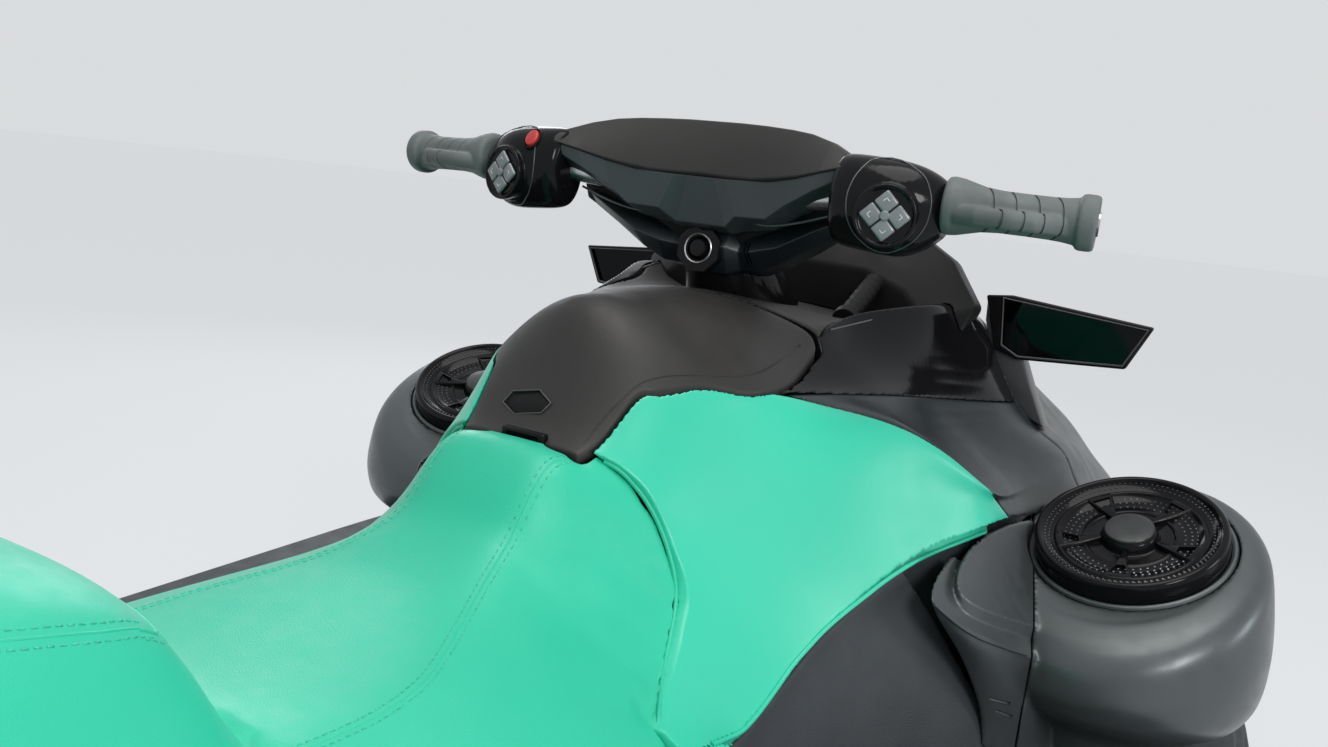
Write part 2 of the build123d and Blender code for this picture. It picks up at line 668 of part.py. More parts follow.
def side_panel(shell):
    """The port coloured panel between seat, lid and flank."""
    outline = [(FLANK_EDGE[0][0], 800)] + FLANK_EDGE + TUCK_EDGE + SEAT_EDGE[::-1]
    return (shell & side_prism(outline, 2.0)) - centre_region()


def flank_band(shell):
    """The port band that runs forward from the coloured panel, under the flank wall."""
    back = [(y - SEAM, z + SEAM) for y, z in FLANK_EDGE[1:]]
    foot = [(FLANK_EDGE[-1][0] - SEAM, TUCK_EDGE[0][1]), COWL_TUCK[1], (COWL_Y + SEAM, COWL_TUCK[0][1])]
    top = [(y, z - SEAM) for y, z in WALL_FOOT[:0:-1]]
    top[0] = (COWL_Y + SEAM, top[0][1])
    outline = back + foot + top + [BAND_TIP]
    return (shell & side_prism(outline, 2.0)) - centre_region()


def flank_wall(shell):
    """The port gloss wall beside the dash."""
    outline = [(COWL_Y + SEAM, 800), (COWL_Y + SEAM, WALL_FOOT[-1][1])] + WALL_FOOT[::-1][1:]
    outline += [(WALL_FOOT[0][0], 800)]
    return (shell & side_prism(outline, 2.0)) - centre_region()


KNEE_EDGE = [(-188, 420), (-211, 381), (-234, 333), (-257, 284), (-283, 243), (-300, 200), (-300, 0)]
RECESS = 16.0


def knee_panel(shell):
    """The port panel beside the knees, under the tuck line."""
    top = [(y, z - SEAM) for y, z in TUCK_EDGE[3:]]
    return shell & side_prism(KNEE_EDGE[::-1] + top + [(SKIN_REAR_Y, 0)], 2.0)


def knee_recess():
    """The port wall ahead of the knee panel, set in under the flank."""
    wall = body_loft(RECESS, FLANK_STATIONS) - body_loft(RECESS + SKIN, FLANK_STATIONS)
    wall = wall & above_deck()
    edge = [(y - SEAM, z) for y, z in KNEE_EDGE[:0:-1]]
    top = [(y, z - SEAM) for y, z in (TUCK_EDGE[2], TUCK_EDGE[1], TUCK_EDGE[0], COWL_TUCK[1])]
    front = [(COWL_Y + SEAM, COWL_TUCK[0][1] - SEAM), (COWL_Y + SEAM, 0)]
    return wall & side_prism(edge + top + front, 2.0)


# Cushions: y, then half outline (x, z) from the crown down
FRONT_CUSHION = [
    (30, 538, (30, 537), (60, 532), (86, 520), (112, 496), (136, 466), (152, 440), (176, 410), (204, 386)),
    (75, 537, (30, 536), (60, 531), (84, 513), (104, 486), (126, 452), (150, 422), (178, 398), (206, 378)),
    (110, 533, (28, 532), (54, 527), (74, 508), (92, 476), (116, 446), (145, 418), (180, 392), (210, 374)),
    (130, 516, (30, 515), (56, 509), (76, 484), (96, 456), (120, 433), (150, 411), (184, 388), (214, 371)),
    (150, 491, (32, 490), (56, 483), (78, 462), (100, 442), (126, 424), (156, 404), (190, 385), (218, 369)),
    (170, 470, (34, 469), (60, 463), (84, 447), (110, 431), (136, 416), (164, 400), (196, 383), (222, 368)),
    (210, 451, (42, 450), (74, 444), (100, 432), (126, 420), (152, 408), (180, 394), (206, 380), (228, 366)),
    (250, 439, (48, 438), (88, 432), (114, 423), (138, 413), (164, 402), (190, 390), (212, 378), (231, 366)),
    (320, 427, (60, 426), (110, 421), (133, 413), (155, 405), (178, 395), (200, 385), (218, 376), (233, 364)),
    (400, 421, (62, 420), (116, 415), (140, 407), (162, 398), (184, 389), (204, 380), (220, 372), (234, 362)),
    (455, 426, (62, 425), (116, 419), (140, 410), (162, 401), (184, 391), (204, 381), (220, 372), (234, 360)),
]
REAR_CUSHION = [
    (456.5, 440, (62, 439), (114, 431), (138, 420), (160, 408), (184, 396), (204, 384), (220, 373), (234, 360)),
    (480, 482, (60, 480), (108, 470), (134, 452), (158, 432), (182, 412), (204, 393), (221, 376), (234, 359)),
    (510, 521, (60, 519), (106, 508), (134, 486), (158, 457), (182, 427), (204, 400), (222, 378), (234, 357)),
    (560, 549, (60, 547), (106, 536), (135, 514), (159, 482), (182, 446), (204, 410), (222, 382), (234, 354)),
    (650, 566, (60, 564), (106, 555), (135, 535), (158, 503), (181, 464), (202, 422), (220, 386), (233, 352)),
    (850, 570, (60, 568), (106, 559), (134, 540), (156, 508), (178, 468), (198, 424), (215, 385), (228, 350)),
    (1000, 562, (56, 560), (98, 551), (125, 532), (147, 500), (168, 460), (187, 418), (204, 380), (217, 348)),
    (1090, 540, (52, 538), (90, 530), (113, 512), (134, 482), (154, 446), (173, 408), (189, 376), (202, 346)),
    (1118, 500, (48, 498), (84, 491), (106, 476), (126, 452), (146, 424), (164, 396), (180, 370), (192, 346)),
]
FRONT_STATIONS = [30, 52, 75, 92, 110, 130, 150, 170, 210, 250, 320, 400, 455]
REAR_STATIONS = [456.5, 480, 510, 560, 650, 850, 1000, 1050, 1090, 1118]
BOARD_TOP = SEAT_FLOOR_Z + SEAT_BOARD


def cushion(table, stations):
    rows = flat_rows(table)
    faces = []
    for y in stations:
        values = blended(rows, y)
        points = [(0.0, values[0])]
        points += [(values[i], values[i + 1]) for i in range(1, len(values) - 1, 2)]
        faces.append(section(y, half_mirrored(points + [(points[-1][0] - 5.0, BOARD_TOP)])))
    return loft(faces, ruled=True)


def seat_front():
    """The rider's cushion, whose nose reaches forward between the coloured panels."""
    body = cushion(FRONT_CUSHION, FRONT_STATIONS)
    rear = [(y + SEAM, z) for y, z in SEAT_EDGE]
    outline = [(-200, 800)] + rear + [(SKIN_REAR_Y + SEAM, 0), (-200, 0)]
    body -= side_prism(outline, -BEAM, BEAM)
    spine_room = SPINE_HALF + 2
    body -= box_between((-spine_room, spine_room), (0, SEAT_FRONT_Y + SEAM), (0, SPINE_TOP + 2))
    lid_room = LID_PLAN[0][0] + GAP
    body -= box_between((-lid_room, lid_room), (0, LID_REAR_Y + GAP), (490, 800))
    return body


def seat_rear():
    return cushion(REAR_CUSHION, REAR_STATIONS)


def seat_base():
    """The board that closes the engine bay and carries both cushions."""
    half = PLINTH_HALF - 16
    board = (SEAT_FRONT_Y + SEAM, SEAT_REAR_Y - SEAM)
    return box_between((-half, half), board, (SEAT_FLOOR_Z, BOARD_TOP))


def seat_skirt():
    """The port panel along the plinth, under the cushions."""
    faces = []
    for y, sill_x, sill_z, tuck_x, tuck_z, foot_x in (
        (SKIN_REAR_Y + SEAM, 254.0, 352.0, 240.0, 334.0, FOOTWELL_INNER - 2),
        (600.0, 252.0, 344.0, 242.0, 328.0, FOOTWELL_INNER - 2),
        (SEAT_REAR_Y, 248.0, 332.0, 240.0, 318.0, FOOTWELL_INNER - 2),
    ):
        points = [(SEAT_HALF + 2, sill_z - 4), (sill_x - 8, sill_z), (sill_x, sill_z - 3)]
        points += [(tuck_x, tuck_z), (foot_x, BODY_FOOT_Z - 40), (PLINTH_HALF, BODY_FOOT_Z - 40)]
        points += [(PLINTH_HALF, SEAT_FLOOR_Z - 6), (SEAT_HALF + 2, SEAT_FLOOR_Z - 6)]
        faces.append(section(y, points))
    skirt = loft(faces, ruled=True) & above_deck()
    core = box_between((-PLINTH_HALF, PLINTH_HALF), (0, LENGTH), (0, SEAT_FLOOR_Z))
    return skirt - core


# Speakers and their housings
SPEAKER_FACE = (441.0, -418.0, 460.0)
SPEAKER_RADIUS = 97.7
SPEAKER_PROUD = 27.0
SPEAKER_SUNK = 12.0
SPEAKER_CAP = 27.0
SPEAKER_TILT_BACK = 26.0
SPEAKER_TILT_IN = 8.0
SPEAKER_FRAME = Location(SPEAKER_FACE, (-SPEAKER_TILT_BACK, -SPEAKER_TILT_IN, 0))
COLLAR_RADIUS = 113.0
COLLAR_DROP = 30.0  # from the speaker's face down to the collar
HOUSING_X = 447.0
HOUSING_Y = -420.0
HOUSING_SIDES = 20

# Bowl of the housing: height and radius, under the collar
BOWL = [(394.0, 139.0), (355.0, 150.0), (305.0, 146.0), (272.0, 124.0), (250.0, 92.0)]
BOWL_FOOT = 150.0

# Arm of the housing towards the knee: height, inner x, how far back it reaches
ARM = [(430.0, 318.0, -290.0), (408.0, 294.0, -258.0), (345.0, 322.0, -252.0), (260.0, 372.0, -262.0)]
ARM_FOOT = (150.0, 410.0, -275.0)


def ring_at(frame, radius):
    """A many-sided ring round the Z axis of a frame."""
    points = []
    for step in range(HOUSING_SIDES):
        angle = 2 * math.pi * step / HOUSING_SIDES
        points.append((frame * Pos(radius * math.cos(angle), radius * math.sin(angle), 0)).position)
    return Face(Wire.make_polygon(points, close=True))


def arm_level(z, inner_x, back_y):
    """One level of the arm, from its inner edge to the middle of the bowl."""
    run = HOUSING_X + 20 - inner_x
    plan = [(inner_x, back_y - 50), (inner_x + 0.06 * run, back_y - 12), (inner_x + 0.24 * run, back_y)]
    plan += [(inner_x + 0.62 * run, back_y - 4), (HOUSING_X + 20, back_y - 40), (HOUSING_X + 20, HOUSING_Y)]
    plan += [(inner_x + 0.4 * run, HOUSING_Y), (inner_x + 0.1 * run, back_y - 110)]
    return Face(Wire.make_polygon([Vector(x, y, z) for x, y in plan], close=True))


def speaker_housing():
    """The port housing, a bowl round the speaker with an arm towards the knee."""
    rings = [ring_at(SPEAKER_FRAME * Pos(0, 0, -COLLAR_DROP), COLLAR_RADIUS)]
    for z, radius in BOWL + [(BOWL_FOOT, BOWL[-1][1])]:
        rings.append(ring_at(Location((HOUSING_X, HOUSING_Y, z)), radius))
    body = loft(rings, ruled=True)
    body += loft([arm_level(*row) for row in ARM + [ARM_FOOT]], ruled=True)
    body -= SPEAKER_FRAME * Cylinder(SPEAKER_RADIUS + FIT, 2 * (SPEAKER_PROUD + SPEAKER_SUNK))
    body -= body_loft(-FIT)
    return body & above_deck()


def speaker():
    depth = SPEAKER_PROUD + SPEAKER_SUNK
    body = Pos(0, 0, -depth / 2) * Cylinder(SPEAKER_RADIUS, depth)
    body -= Pos(0, 0, -4) * Cylinder(SPEAKER_RADIUS - 9, 9)
    body += Pos(0, 0, -6) * Cylinder(SPEAKER_CAP, 8)
    return SPEAKER_FRAME * body


# Mirrors: rear outline (x, z), depth and foot
MIRROR_Y = -598.0
MIRROR_DEPTH = 52.0
MIRROR_OUTLINE = [(205, 672), (238, 676), (409, 661), (384, 606), (253, 596), (225, 606)]
MIRROR_GLASS = [(232, 664), (392, 652), (374, 615), (256, 606), (238, 614)]
GLASS_THICK = 3.0


def mirror_body():
    front = [(x * 0.9 + 28, z * 0.7 + 192) for x, z in MIRROR_OUTLINE]
    body = loft([section(MIRROR_Y, MIRROR_OUTLINE), section(MIRROR_Y - MIRROR_DEPTH, front)], ruled=True)
    foot = [(205, 640), (262, 640), (300, 520), (236, 540)]
    body += extrude(section(MIRROR_Y - 12, foot), amount=34, dir=(0, -1, 0))
    body -= extrude(section(MIRROR_Y, MIRROR_GLASS), amount=GLASS_THICK, dir=(0, -1, 0))
    return Pos(FIT, 0, FIT) * (body - body_loft())


def mirror_glass():
    plate = extrude(section(MIRROR_Y, MIRROR_GLASS), amount=GLASS_THICK, dir=(0, -1, 0))
    return Pos(FIT, 0, FIT) * plate


# Steering
STEER_FRAME = Location((0, STEER_Y, STEER_Z), (-STEER_LEAN, 0, 0))
COLUMN_TOP = 60.0
COLUMN_PIN = 12.0
COLUMN_PIN_TOP = 104.0
HUB_RADIUS = 24.0
HUB_TOP = 132.0
PAD_SECTIONS = [
    (0.0, [(-240, 826), (-214, 835), (-186, 779), (-204, 727), (-246, 734)]),
    (99.0, [(-232, 822), (-206, 832), (-172, 786), (-192, 741), (-240, 748)]),
    (168.0, [(-212, 802), (-176, 812), (-156, 797), (-172, 766), (-212, 770)]),
]


def steer_above(height):
    """Everything beyond a height along the steering axis."""
    return STEER_FRAME * Pos(0, 0, height + 500) * Box(2000, 1400, 1000)


def column_cowl():
    """The fixed boot round the steering column, with the pin that the bars turn on."""
    boot = STEER_FRAME * Pos(0, 0, -10 + (COLUMN_TOP + 40) / 2 - 30) * Cone(66, 44, COLUMN_TOP + 40)
    boot = boot - body_loft()
    pin = STEER_FRAME * Pos(0, 0, (COLUMN_TOP - 10 + COLUMN_PIN_TOP) / 2)
    pin = pin * Cylinder(COLUMN_PIN, COLUMN_PIN_TOP - COLUMN_TOP + 10)
    return Pos(0, 0, FIT) * (boot - steer_above(COLUMN_TOP)) + pin


def bar_run(start, end, radius):
    """A round bar between two points."""
    a = Vector(*start)
    b = Vector(*end)
    frame = Plane(origin=a, z_dir=b - a)
    return extrude(frame * Circle(radius), amount=(b - a).length)


def bent_rod(points, radius):
    """A round rod through a row of points, mitred where it bends."""
    path = Polyline(*points)
    start = Plane(origin=points[0], z_dir=Vector(*points[1]) - Vector(*points[0]))
    return sweep(start * Circle(radius), path=path, transition=Transition.RIGHT)


def bar_rod(radius):
    """The bar from end to end."""
    starboard = [(-x, y, z) for x, y, z in BAR_POINTS[:0:-1]]
    return bent_rod(starboard + BAR_POINTS, radius)


def handlebar():
    hub_foot = COLUMN_TOP + 6
    hub = STEER_FRAME * Pos(0, 0, (hub_foot + HUB_TOP) / 2) * Cylinder(HUB_RADIUS, HUB_TOP - hub_foot)
    bar = hub + bar_rod(BAR_RADIUS)
    bore = STEER_FRAME * Pos(0, 0, COLUMN_PIN_TOP / 2 + 2) * Cylinder(COLUMN_PIN + PIN_FIT, COLUMN_PIN_TOP + 8)
    return bar - bore


def whole_bar():
    """The bar as a solid, for the holes through the pieces on it."""
    hub = STEER_FRAME * Pos(0, 0, 85) * Cylinder(HUB_RADIUS + FIT, 100)
    return hub + bar_rod(BAR_RADIUS + FIT)


def steering_pad():
    faces = []
    for x, points in reversed(PAD_SECTIONS[1:]):
        faces.append(side_face(-x, points))
    for x, points in PAD_SECTIONS:
        faces.append(side_face(x, points))
    return loft(faces, ruled=True) - whole_bar()


def side_face(x, points):
    """A flat face along the craft at one distance from the centreline, from (y, z) points."""
    return Face(Wire.make_polygon([Vector(x, y, z) for y, z in points], close=True))


def steering_cowl():
    """The cowl under the pad, which turns with the bars."""
    outline = [(-99, 724), (99, 724), (74, 700), (38, 676), (-38, 676), (-74, 700)]
    cowl = extrude(section(-222.0, outline), amount=46, dir=(0, -1, 0))
    cowl += cylinder_y(15, -262.0, -212.0, z=700.0)
    cowl = cowl & steer_above(COLUMN_TOP + 6)
    return cowl - whole_bar() - steering_pad()


POD_SECTIONS = [
    (172.0, [(-206, 792), (-166, 800), (-146, 784), (-152, 742), (-172, 728), (-206, 738)]),
    (225.0, [(-212, 792), (-172, 800), (-146, 780), (-152, 740), (-172, 724), (-210, 734)]),
    (262.0, [(-214, 788), (-184, 793), (-160, 780), (-164, 750), (-184, 740), (-212, 746)]),
]


def switch_pod():
    faces = [side_face(x, points) for x, points in POD_SECTIONS]
    return loft(faces, ruled=True) - whole_bar() - steering_pad()


def along_bar(x):
    """A point on the bar's outer run at one distance from the centreline."""
    (x0, y0, z0), (x1, y1, z1) = BAR_POINTS[-2:]
    share = (x - x0) / (x1 - x0)
    return (x, y0 + share * (y1 - y0), z0 + share * (z1 - z0))


def grip():
    sleeve = bar_run(along_bar(268.0), along_bar(386.0), 18.5)
    sleeve += bar_run(along_bar(384.0), along_bar(396.0), 25.0)
    wing = [(268, -164), (300, -150), (350, -158), (384, -186), (384, -204), (268, -186)]
    face = Face(Wire.make_polygon([Vector(x, y, 766) for x, y in wing], close=True))
    sleeve += extrude(face, amount=12, dir=(0, 0, 1))
    return sleeve - whole_bar()


def lever():
    """The port lever in front of the grip, held by the switch pod."""
    plan = [(236, -213), (262, -213), (300, -236), (372, -258), (372, -270), (296, -252), (244, -232)]
    face = Face(Wire.make_polygon([Vector(x, y, 756) for x, y in plan], close=True))
    blade = extrude(face, amount=16, dir=(0, 0, 1))
    return blade - switch_pod() - whole_bar()


# Instrument hood: y, half width and height of its top, half width and height of its foot
HOOD = [
    (-438.0, 100.0, 694.0, 184.0, 640.0),
    (-482.0, 140.0, 746.0, 226.0, 664.0),
    (-560.0, 124.0, 742.0, 214.0, 656.0),
    (-592.0, 100.0, 716.0, 190.0, 630.0),
]


def gauge_pod():
    """The instrument hood in front of the bars."""
    faces = []
    for y, top_half, top_z, foot_half, foot_z in HOOD:
        shoulder = (top_half + 0.6 * (foot_half - top_half), foot_z + 0.6 * (top_z - foot_z))
        outline = [(0.0, top_z), (top_half, top_z - 3), shoulder, (foot_half, foot_z), (foot_half - 30, 560.0)]
        faces.append(section(y, half_mirrored(outline)))
    return Pos(0, 0, FIT) * (loft(faces, ruled=True) - body_loft())


# Bins under the two lids
BIN_WALL = 3.0
BIN_HALF = 84.0
BIN_FRONT_Y = -180.0
BIN_REAR_Y = 24.0
BIN_INSIDE = 40.0  # how far inside the bow lid's rear edge its bin stands
BIN_NARROWER = 14.0
STORAGE_FLOOR_Z = 275.0


def glovebox_bin():
    inner_half = BIN_HALF - BIN_WALL
    room = (BIN_FRONT_Y + BIN_WALL, BIN_REAR_Y - BIN_WALL)
    outer = box_between((-BIN_HALF, BIN_HALF), (BIN_FRONT_Y, BIN_REAR_Y), (SPINE_TOP, 640.0))
    inner = box_between((-inner_half, inner_half), room, (SPINE_TOP + BIN_WALL, 700.0))
    return (outer - inner) & body_loft(SKIN + 8.0)


def storage_bin():
    rear = along(FRONT_LID_REAR_Y) - BIN_INSIDE
    front = along(FRONT_LID_FRONT_Y) + BIN_INSIDE / 2
    rear_half = FRONT_LID_REAR_HALF - BIN_NARROWER
    front_half = FRONT_LID_FRONT_HALF + BIN_NARROWER
    outer_plan = [(0, rear), (rear_half, rear), (front_half, front), (0, front)]
    inner_plan = [
        (0, rear - BIN_WALL),
        (rear_half - BIN_WALL, rear - BIN_WALL),
        (front_half - BIN_WALL, front + BIN_WALL),
        (0, front + BIN_WALL),
    ]
    outer = plan_symmetric(outer_plan, 200.0, 800.0)
    inner = plan_symmetric(inner_plan, STORAGE_FLOOR_Z, 900.0)
    room = body_loft(SKIN + 8.0)
    return (outer - inner) & room & above_deck()


# Grab handle behind the seat
HANDLE_Y = 1152.0
HANDLE_HALF = 110.0
HANDLE_TOP = 440.0
HANDLE_RADIUS = 14.0


def grab_handle():
    foot_z = bond_height(HANDLE_Y) + GUNWALE_TOP
    points = [(-HANDLE_HALF, foot_z - 20), (-HANDLE_HALF, HANDLE_TOP), (HANDLE_HALF, HANDLE_TOP)]
    points += [(HANDLE_HALF, foot_z - 20)]
    handle = bent_rod([(x, HANDLE_Y, z) for x, z in points], HANDLE_RADIUS)
    for x in (-HANDLE_HALF, HANDLE_HALF):
        handle += box_between((x - 24, x + 24), (HANDLE_Y - 22, HANDLE_Y + 24), (foot_z - 20, foot_z + 12))
    return handle & above_deck()


def footwell_mat():
    plan = footwell_plan(MAT_MARGIN)
    face = Face(Wire.make_polygon([Vector(x, y, 0) for x, y in plan], close=True))
    return DECK_FRAME * Pos(0, 0, FOOTWELL_FLOOR) * extrude(face, amount=MAT_THICK, dir=(0, 0, 1))


PLATFORM_MAT_FRONT_Y = 1220.0
PLATFORM_MAT_HALF = 420.0


def platform_mat():
    rear = STERN_Y - 41.5
    low = GUNWALE_TOP - PLATFORM_DROP
    x = (-PLATFORM_MAT_HALF, PLATFORM_MAT_HALF)
    return DECK_FRAME * box_between(x, (PLATFORM_MAT_FRONT_Y, rear), (low, low + MAT_THICK))


def fuel_cap():
    spot = Pos(-470.0, along(-770.0), GUNWALE_TOP)
    cap = Pos(0, 0, 9) * Cylinder(46, 18) + Pos(0, 0, 22) * Box(70, 16, 10)
    return DECK_FRAME * spot * cap


def bow_eye():
    """The towing eye under the bow."""
    reach = EYE_BORE + EYE_RIM
    eye = cylinder_x(reach, -EYE_THICK / 2, EYE_THICK / 2, along(EYE_Y), EYE_Z)
    root = (along(EYE_Y), along(EYE_Y) + EYE_ROOT)
    eye += box_between((-EYE_THICK / 2, EYE_THICK / 2), root, (EYE_Z - reach, EYE_Z + reach))
    eye -= cylinder_x(EYE_BORE, -EYE_THICK, EYE_THICK, along(EYE_Y), EYE_Z)
    return eye - hull_loft()


def save(shape, name):
    export_step(shape, f"parts/{name}.step")


def main():
    os.makedirs("parts", exist_ok=True)
    shell = skin()
    whole = {
        "hull_bottom": hull_bottom(),
        "deck": deck(),
        "ride_plate": ride_plate(),
        "intake_grate": intake_grate(),
        "pump_housing": pump_housing(),
        "steering_nozzle": steering_nozzle(),
        "impeller": impeller(),
        "reverse_bucket": reverse_bucket(),
        "engine_block": engine_block(),
        "bow_cowl": bow_cowl(shell),
        "front_lid": front_lid(shell),
        "dash": dash(shell),
        "glovebox_lid": glovebox_lid(shell),
        "glovebox_bin": glovebox_bin(),
        "storage_bin": storage_bin(),
        "seat_front": seat_front(),
        "seat_rear": seat_rear(),
        "seat_base": seat_base(),
        "column_cowl": column_cowl(),
        "gauge_pod": gauge_pod(),
        "handlebar": handlebar(),
        "steering_pad": steering_pad(),
        "steering_cowl": steering_cowl(),
        "grab_handle": grab_handle(),
        "platform_mat": platform_mat(),
        "fuel_cap": fuel_cap(),
        "bow_eye": bow_eye(),
    }
    sided = {
        "bumper": bumper(),
        "sponson": sponson(),
        "side_panel": side_panel(shell),
        "flank_band": flank_band(shell),
        "flank_wall": flank_wall(shell),
        "knee_panel": knee_panel(shell),
        "knee_recess": knee_recess(),
        "seat_skirt": seat_skirt(),
        "speaker_housing": speaker_housing(),
        "speaker": speaker(),
        "mirror": mirror_body(),
        "mirror_glass": mirror_glass(),
        "switch_pod": switch_pod(),
        "grip": grip(),
        "lever": lever(),
        "footwell_mat": footwell_mat(),
    }
    for name, shape in whole.items():
        save(shape, name)
    for name, shape in sided.items():
        save(shape, name + "_port")
        save(mirror(shape, about=Plane.YZ), name + "_starboard")


main()
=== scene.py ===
# %% [markdown]
# A personal watercraft is a small boat that is ridden like a motorcycle. This lesson dresses a packed
# model of one: smooth moulded panels, stitched cushions, rubber grips and gloss speakers are made here,
# round the frame that the construction model gives.

# %% Load the frame
import bpy
import bmesh
import json
import math
import numpy as np
from mathutils import Matrix, Vector
from mathutils.bvhtree import BVHTree

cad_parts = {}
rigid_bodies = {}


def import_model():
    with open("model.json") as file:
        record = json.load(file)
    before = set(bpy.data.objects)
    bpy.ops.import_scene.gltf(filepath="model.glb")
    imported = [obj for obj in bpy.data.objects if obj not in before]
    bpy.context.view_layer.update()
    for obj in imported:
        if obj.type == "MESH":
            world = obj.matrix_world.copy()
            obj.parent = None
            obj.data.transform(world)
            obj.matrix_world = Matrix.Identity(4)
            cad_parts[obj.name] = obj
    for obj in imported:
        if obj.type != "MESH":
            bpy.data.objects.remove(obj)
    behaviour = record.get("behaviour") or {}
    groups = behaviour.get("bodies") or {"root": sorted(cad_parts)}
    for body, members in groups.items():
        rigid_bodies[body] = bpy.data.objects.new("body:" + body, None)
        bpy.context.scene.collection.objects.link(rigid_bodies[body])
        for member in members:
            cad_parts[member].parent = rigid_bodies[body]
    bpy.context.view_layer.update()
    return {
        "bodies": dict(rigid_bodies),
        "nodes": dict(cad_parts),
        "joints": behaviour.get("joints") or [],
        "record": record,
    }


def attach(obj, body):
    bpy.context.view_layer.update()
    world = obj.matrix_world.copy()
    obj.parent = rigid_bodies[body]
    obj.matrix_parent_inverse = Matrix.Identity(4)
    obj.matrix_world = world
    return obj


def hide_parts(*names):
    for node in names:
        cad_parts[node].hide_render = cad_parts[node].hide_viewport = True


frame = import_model()
nodes = frame["nodes"]
MM = 0.001
print("pieces in the frame:", len(nodes))

# %% [markdown]
# The picture is taken from behind the rider's right shoulder. The camera's place was solved from the
# left and right halves of the craft, which mirror each other. A camera in Blender looks along its own
# -Z axis, so the matrix takes the right, up and backward directions as its columns.

# %% Camera
IMAGE_WIDTH = 1328
IMAGE_HEIGHT = 747
FOCAL_PIXELS = 1161.0
EYE = Vector((-0.5922728, 0.88071836, 0.76226506))
RIGHT = Vector((-0.85501833, -0.50677211, 0.11011669))
UP = Vector((0.17488591, -0.08186407, 0.98117949))
FORWARD = Vector((0.4882198, -0.8581843, -0.15862258))

camera_data = bpy.data.cameras.new("camera")
camera_data.sensor_width = 36.0
camera_data.lens = FOCAL_PIXELS / IMAGE_WIDTH * camera_data.sensor_width
camera_data.clip_start = 0.02
camera = bpy.data.objects.new("camera", camera_data)
camera.matrix_world = Matrix((
    (RIGHT.x, UP.x, -FORWARD.x, EYE.x),
    (RIGHT.y, UP.y, -FORWARD.y, EYE.y),
    (RIGHT.z, UP.z, -FORWARD.z, EYE.z),
    (0.0, 0.0, 0.0, 1.0),
))
bpy.context.scene.collection.objects.link(camera)
bpy.context.scene.camera = camera
print("lens", round(camera_data.lens, 2), "mm")


def pixel_direction(u, v):
    """The direction from the camera through one pixel of the picture."""
    across = (u - IMAGE_WIDTH / 2) / FOCAL_PIXELS
    down = (v - IMAGE_HEIGHT / 2) / FOCAL_PIXELS
    return (FORWARD + RIGHT * across - UP * down).normalized()


# %% [markdown]
# A boat afloat is seen from its waterline up, so the studio floor lies at the waterline. The floor and
# the world look pale to the camera and in reflections, while the light that falls on the craft comes
# from a few wide soft lamps.

# %% Floor, world and lamps
PALE = (0.86, 0.88, 0.9, 1.0)  # the backdrop as the camera sees it
SHOWN_STRENGTH = 0.81
ROOM_STRENGTH = 0.25
FLOOR_RADIUS = 60.0


def pale_where_seen(tree, lit, seen):
    """Shows one shader to camera, glossy and glass rays and another to all the rest."""
    rays = tree.nodes.new("ShaderNodeLightPath").outputs
    seen_by = rays["Is Camera Ray"]
    for ray in ("Is Glossy Ray", "Is Transmission Ray"):
        either = tree.nodes.new("ShaderNodeMath")
        either.operation = "MAXIMUM"
        tree.links.new(seen_by, either.inputs[0])
        tree.links.new(rays[ray], either.inputs[1])
        seen_by = either.outputs[0]
    mix = tree.nodes.new("ShaderNodeMixShader")
    tree.links.new(seen_by, mix.inputs["Fac"])
    tree.links.new(lit.outputs[0], mix.inputs[1])
    tree.links.new(seen.outputs[0], mix.inputs[2])
    return mix


world = bpy.data.worlds.new("studio")
bpy.context.scene.world = world
world.use_nodes = True
sky = world.node_tree
sky.nodes.clear()
room = sky.nodes.new("ShaderNodeBackground")
room.inputs["Color"].default_value = (0.92, 0.95, 1.0, 1.0)
room.inputs["Strength"].default_value = ROOM_STRENGTH
shown = sky.nodes.new("ShaderNodeBackground")
shown.inputs["Color"].default_value = PALE
shown.inputs["Strength"].default_value = SHOWN_STRENGTH
out = sky.nodes.new("ShaderNodeOutputWorld")
sky.links.new(pale_where_seen(sky, room, shown).outputs[0], out.inputs["Surface"])

bm = bmesh.new()
bmesh.ops.create_circle(bm, cap_ends=True, segments=96, radius=FLOOR_RADIUS)
floor_mesh = bpy.data.meshes.new("studio_floor")
bm.to_mesh(floor_mesh)
bm.free()
floor = bpy.data.objects.new("studio_floor", floor_mesh)
bpy.context.scene.collection.objects.link(floor)
floor_material = bpy.data.materials.new("studio_floor")
floor_material.use_nodes = True
floor_tree = floor_material.node_tree
floor_shader = floor_tree.nodes["Principled BSDF"]
floor_shader.inputs["Base Color"].default_value = (0.78, 0.79, 0.8, 1.0)
floor_shader.inputs["Roughness"].default_value = 0.8
glow = floor_tree.nodes.new("ShaderNodeEmission")
glow.inputs["Color"].default_value = PALE
half_glow = floor_tree.nodes.new("ShaderNodeMixShader")
half_glow.inputs["Fac"].default_value = 0.7
floor_tree.links.new(floor_shader.outputs[0], half_glow.inputs[1])
floor_tree.links.new(glow.outputs[0], half_glow.inputs[2])
floor_seen = pale_where_seen(floor_tree, floor_shader, half_glow)
floor_tree.links.new(floor_seen.outputs[0], floor_tree.nodes["Material Output"].inputs["Surface"])
floor_mesh.materials.append(floor_material)

